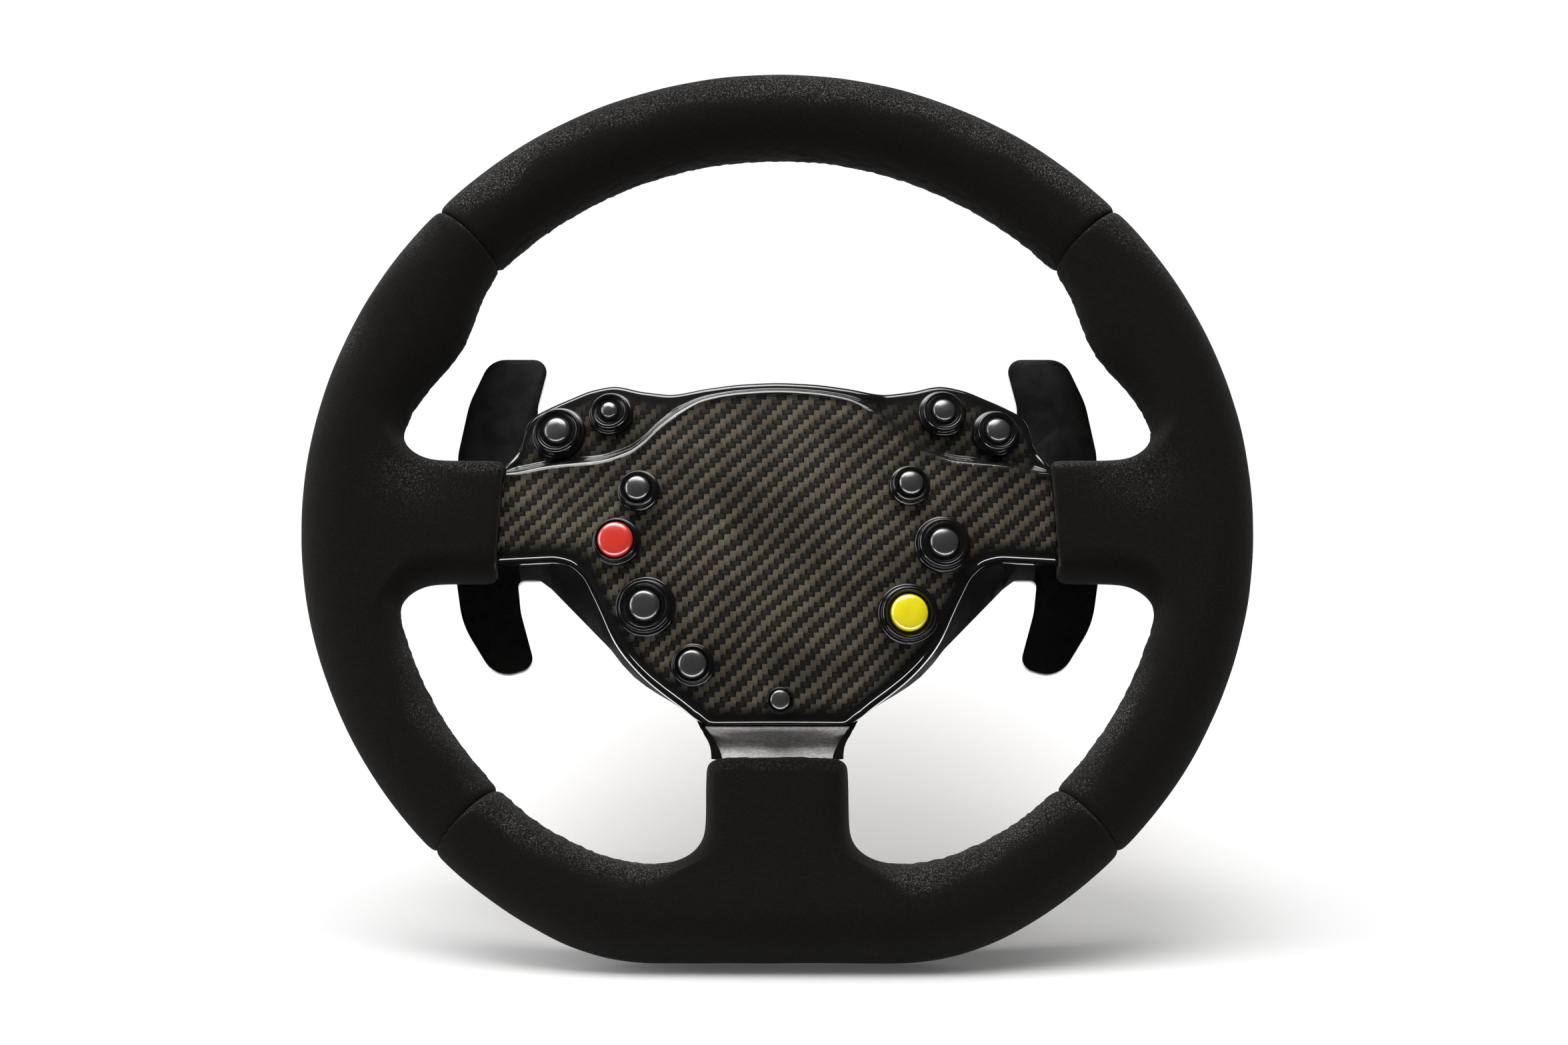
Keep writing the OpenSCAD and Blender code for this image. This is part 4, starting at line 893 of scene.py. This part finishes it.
class WHEEL_OT_buttons(bpy.types.Operator):
    """Makes the collars and caps of the push buttons"""
    bl_idname = "wheel.buttons"
    bl_label = "Push Buttons"

    def execute(self, context):
        steps = context.scene.wheel_shape.turn_steps
        for i in range(len(BUTTONS)):
            self.collar(i, steps)
            self.cap(i, steps)
        return {"FINISHED"}

    def collar(self, i, steps):
        """A barrel in the hole, a foot on the face, a step and a ring with a dished inside."""
        cap, ring, base = (d / 2 for d in BUTTONS[i][2:])
        bore = cap + BORE_GAP
        barrel = bore + BARREL_WALL
        step = ring + (base - ring) * 0.35
        high = RING_HIGH
        foot = [(bore, -BARREL_DEEP), (barrel, -BARREL_DEEP), (barrel, -0.6), (base, -0.6), (base, 1.3),
                (base - SHOULDER, 2.0), (base - 0.9, 2.15), (step + 0.15, 2.2)]
        crown = [(step, high - 0.55), (step - SHOULDER, high), (bore + (ring - bore) * 0.8, high),
                 (bore + (ring - bore) * 0.45, high - 0.8), (bore, high - 0.75), (bore, -BARREL_DEEP)]
        obj = spun(f"collar_ring_{i + 1}", rounded(foot + crown, 0.22), steps)
        move_mesh(obj, button_place(i))
        smooth(obj, 50)
        finish(obj, WHEEL, "collar_plastic", MATERIALS["collar"], f"collar_{i + 1}")

    def cap(self, i, steps):
        """A plug with a wide round edge and a faintly domed top."""
        r = BUTTONS[i][2] / 2
        top = RING_HIGH + CAP_RISE
        edge = min(1.8, r * 0.36)
        turn = top - SHOULDER - edge
        profile = [(0, CAP_FOOT), (r, CAP_FOOT), (r, turn)]
        profile += [(r - edge + edge * math.cos(a), turn + edge * math.sin(a)) for a in (0.25, 0.5, 0.75, 1.0, 1.25)]
        profile += [((r - edge) * k, top - 0.3 * k ** 3) for k in (0.97, 0.8, 0.6, 0.4, 0.2, 0)]
        obj = spun(f"button_cap_{i + 1}", profile, steps)
        move_mesh(obj, button_place(i))
        smooth(obj, 40)
        tone = CAP_TONES.get(i, "cap_grey")
        finish(obj, f"button_{i + 1}", tone, MATERIALS[tone], f"cap_{i + 1}")


class WHEEL_OT_paddles(bpy.types.Operator):
    """Makes the shift paddles, with softened edges"""
    bl_idname = "wheel.paddles"
    bl_label = "Shift Paddles"

    def execute(self, context):
        for side in ("left", "right"):
            obj = softened("paddle_" + side, "shift_paddle_" + side, 0.8, 3)
            finish(obj, "paddle_" + side, "paddle_metal", MATERIALS["paddle"], "paddle_" + side)
        return {"FINISHED"}


def tuck(p):
    """Lifts the back of the housing's lower corners, so that the flanks run into the legs."""
    lift = 4.2 * ease((p.y + 41) / 14) * ease((-44 - p.z) / 26)
    slim = min(0.0, 24 + (p.z + 75) / 2 - abs(p.x)) if -74.5 < p.z < -72 and abs(p.x) > 24.5 else 0.0
    return Vector((math.copysign(slim, -p.x) if slim else 0.0, 0, lift))


def dish(p):
    """Brings the trim's upper and lower edges forward."""
    if p.y > -39:
        return Vector()
    return Vector((0, -3.5 * ease((p.z + 77) / 4.7) - 1.6 * ease((-78 - p.z) / 5), 0))


class WHEEL_OT_body(bpy.types.Operator):
    """Makes the rear housing and the lower trim, and gives the hub and the small parts their materials"""
    bl_idname = "wheel.body"
    bl_label = "Housing, Trim and Hub"

    def execute(self, context):
        nodes = frame["nodes"]
        housing = softened("rear_housing", "moulded_housing", 0.35, 1, 50, tuck)
        finish(housing, WHEEL, "housing_plastic", MATERIALS["housing"], "rear_housing")
        trim = softened("lower_trim", "dished_trim", 0.35, 2, 40, dish)
        finish(trim, WHEEL, "trim_metal", MATERIALS["trim"], "lower_trim")
        looks = {"rim_foam": "foam", "rim_frame": "frame", "hub_spacer": "hub", "hub_screws": "screw",
                 "housing_screws": "screw", "circuit_board": "board", "wiring_socket": "socket"}
        for side in ("left", "right"):
            looks.update({"hinge_pin_" + side: "pin", "hinge_bracket_" + side: "bracket", "magnet_" + side: "magnet"})
        for i in range(len(BUTTONS)):
            looks[f"switch_{i + 1}"] = "switch"
        for node, look in looks.items():
            mesh = nodes[node].data
            mesh.materials.clear()
            mesh.materials.append(MATERIALS[look])
        return {"FINISHED"}


class WHEEL_OT_stage(bpy.types.Operator):
    """Makes the pale floor, the soft lights and the camera at the photograph's angle"""
    bl_idname = "wheel.stage"
    bl_label = "Stage"

    def execute(self, context):
        s = context.scene.wheel_stage
        centre = Vector((0, -HUB_Y * MM, 0))
        self.camera(s, centre)
        self.floor(s)
        self.lights(centre)
        self.world()
        return {"FINISHED"}

    def camera(self, s, centre):
        data = bpy.data.cameras.new("camera")
        data.lens = s.lens
        data.sensor_width = SENSOR
        data.shift_x = PHOTO_SHIFT / PHOTO_WIDTH
        camera = bpy.data.objects.new("camera", data)
        bpy.context.scene.collection.objects.link(camera)
        away = Vector((0, -math.cos(s.camera_rise), -math.sin(s.camera_rise)))
        camera.location = centre + away * s.camera_distance
        camera.rotation_euler = (math.pi / 2 + s.camera_rise, 0, 0)
        data.clip_end = 50
        bpy.context.scene.camera = camera

    def floor(self, s):
        """A floor under the rim's flat side, white to the camera away from the shadow."""
        deselect()
        bpy.ops.mesh.primitive_grid_add(x_subdivisions=2, y_subdivisions=2, size=1)
        floor = bpy.context.object
        floor.name = "floor"
        turn = Matrix.Rotation(s.floor_slope, 4, "X")
        under = Vector((0, TUBE_R * math.sin(s.floor_slope), -TUBE_R * math.cos(s.floor_slope) - FLOOR_GAP))
        spot = (Vector((0, -HUB_Y, -LINE_FLAT)) + under) * MM
        move_mesh(floor, Matrix.Translation(spot) @ turn @ Matrix.Diagonal((FLOOR_SIZE, FLOOR_SIZE, 1, 1)))
        floor.data.materials.append(self.floor_material())

    def floor_material(self):
        """A painted shadow, dark under the rim, and pale around it. The camera sees it glow white further out, and its
        back is clear.
        """
        m = Nodes("pale_floor")
        m.put(Specular_IOR_Level=0.2)
        spot = m.split(m.place)

        def reach(wide, front, back, middle):
            """1 on the edge of an oval round the shadow, and less inside it."""
            deep = m.math("SUBTRACT", spot["Y"], middle)
            deep = m.math("MAXIMUM", m.math("DIVIDE", deep, back), m.math("DIVIDE", deep, -front))
            across = m.math("DIVIDE", m.math("SUBTRACT", spot["X"], SHADOW_X), wide)
            return m.math("SQRT", m.math("ADD", m.math("POWER", across, 2.0), m.math("POWER", deep, 2.0)))

        # Painted shadow: darkest in an oval under the rim, paling outwards.
        shade = m.mix(m.span(reach(0.15, 0.035, 0.09, -0.03), 0.1, 1.0), FLOOR_DEEP_SHADOW, FLOOR_SHADE)
        pale = m.mix(m.noise(3, 2), *FLOOR_PALE)
        m.put(Base_Color=m.mix(m.span(reach(0.2, 0.1, 0.6, 0.02), 0.1, 1.0), shade, pale), Roughness=0.75)
        near = m.span(reach(0.14, 0.04, 0.08, -0.03), 0.3, 1.0, 0.15, 1.0)
        far = m.product(near, m.span(reach(0.24, 0.13, 0.75, 0.0), 0.4, 1.0, 0.35, 1.0))
        path = m.add("ShaderNodeLightPath").outputs
        glow = m.add("ShaderNodeEmission")
        glow.inputs["Color"].default_value = (1, 1, 1, 1)
        matt = m.shader.outputs[0]
        seen = m.blend(path["Is Camera Ray"], matt, glow.outputs[0])
        back = m.add("ShaderNodeNewGeometry").outputs["Backfacing"]
        unseen = m.math("MAXIMUM", back, m.math("MAXIMUM", path["Is Glossy Ray"], path["Is Shadow Ray"]))
        clear = m.add("ShaderNodeBsdfTransparent").outputs[0]
        m.link(m.blend(unseen, m.blend(far, matt, seen), clear), m.out.inputs[0])
        return m.material

    def lights(self, centre):
        """Three soft lights, and panels above and beside and two strips below that show in the gloss alone."""
        for name, spot, size, power in LIGHTS:
            data = bpy.data.lights.new(name, "AREA")
            data.shape, data.size, data.size_y, data.energy = "RECTANGLE", size[0], size[1], power
            light = bpy.data.objects.new(name, data)
            bpy.context.scene.collection.objects.link(light)
            light.location = centre + Vector(spot)
            light.rotation_euler = (-Vector(spot)).to_track_quat("-Z", "Y").to_euler()
            light.visible_camera = False
            light.visible_diffuse = not name.startswith("gloss")

    def world(self):
        """White to the camera, plain soft light on the object, and dim in the gloss."""
        world = bpy.data.worlds.new("studio")
        bpy.context.scene.world = world
        world.use_nodes = True
        nodes, link = world.node_tree.nodes, world.node_tree.links.new
        nodes.clear()
        out, path = nodes.new("ShaderNodeOutputWorld"), nodes.new("ShaderNodeLightPath")

        def background(strength, color=None):
            node = nodes.new("ShaderNodeBackground")
            node.inputs["Strength"].default_value = strength
            if color:
                node.inputs["Color"].default_value = color
            return node.outputs[0]

        def either(ray, a, b):
            node = nodes.new("ShaderNodeMixShader")
            for value, socket in zip((path.outputs[ray], a, b), node.inputs):
                link(value, socket)
            return node.outputs[0]

        white = (1, 1, 1, 1)
        light = either("Is Glossy Ray", background(AMBIENT, white), background(GLOSS_AMBIENT))
        link(either("Is Camera Ray", light, background(1.0, white)), out.inputs[0])


OPERATORS = (WHEEL_OT_covers, WHEEL_OT_fascia, WHEEL_OT_buttons, WHEEL_OT_paddles, WHEEL_OT_body, WHEEL_OT_stage)


class VIEW3D_PT_wheel(bpy.types.Panel):
    bl_label = "Steering Wheel"
    bl_space_type = "VIEW_3D"
    bl_region_type = "UI"
    bl_category = "Wheel"

    def draw(self, context):
        for group in (context.scene.wheel_look, context.scene.wheel_shape, context.scene.wheel_stage):
            column = self.layout.column()
            for key in group.__annotations__:
                column.prop(group, key)
        for operator in OPERATORS:
            self.layout.operator(operator.bl_idname)


CLASSES = (WheelLook, WheelShape, WheelStage, *OPERATORS, VIEW3D_PT_wheel)


def register():
    for cls in CLASSES:
        bpy.utils.register_class(cls)
    bpy.types.Scene.wheel_look = PointerProperty(type=WheelLook)
    bpy.types.Scene.wheel_shape = PointerProperty(type=WheelShape)
    bpy.types.Scene.wheel_stage = PointerProperty(type=WheelStage)


def unregister():
    del bpy.types.Scene.wheel_stage, bpy.types.Scene.wheel_shape, bpy.types.Scene.wheel_look
    for cls in reversed(CLASSES):
        bpy.utils.unregister_class(cls)


def main():
    register()
    scene = bpy.context.scene
    scene.view_settings.view_transform = "Standard"
    make_materials(scene.wheel_look)
    for operator in OPERATORS:
        group, name = operator.bl_idname.split(".")
        getattr(getattr(bpy.ops, group), name)()
    deselect()


if __name__ == "__main__":
    main()
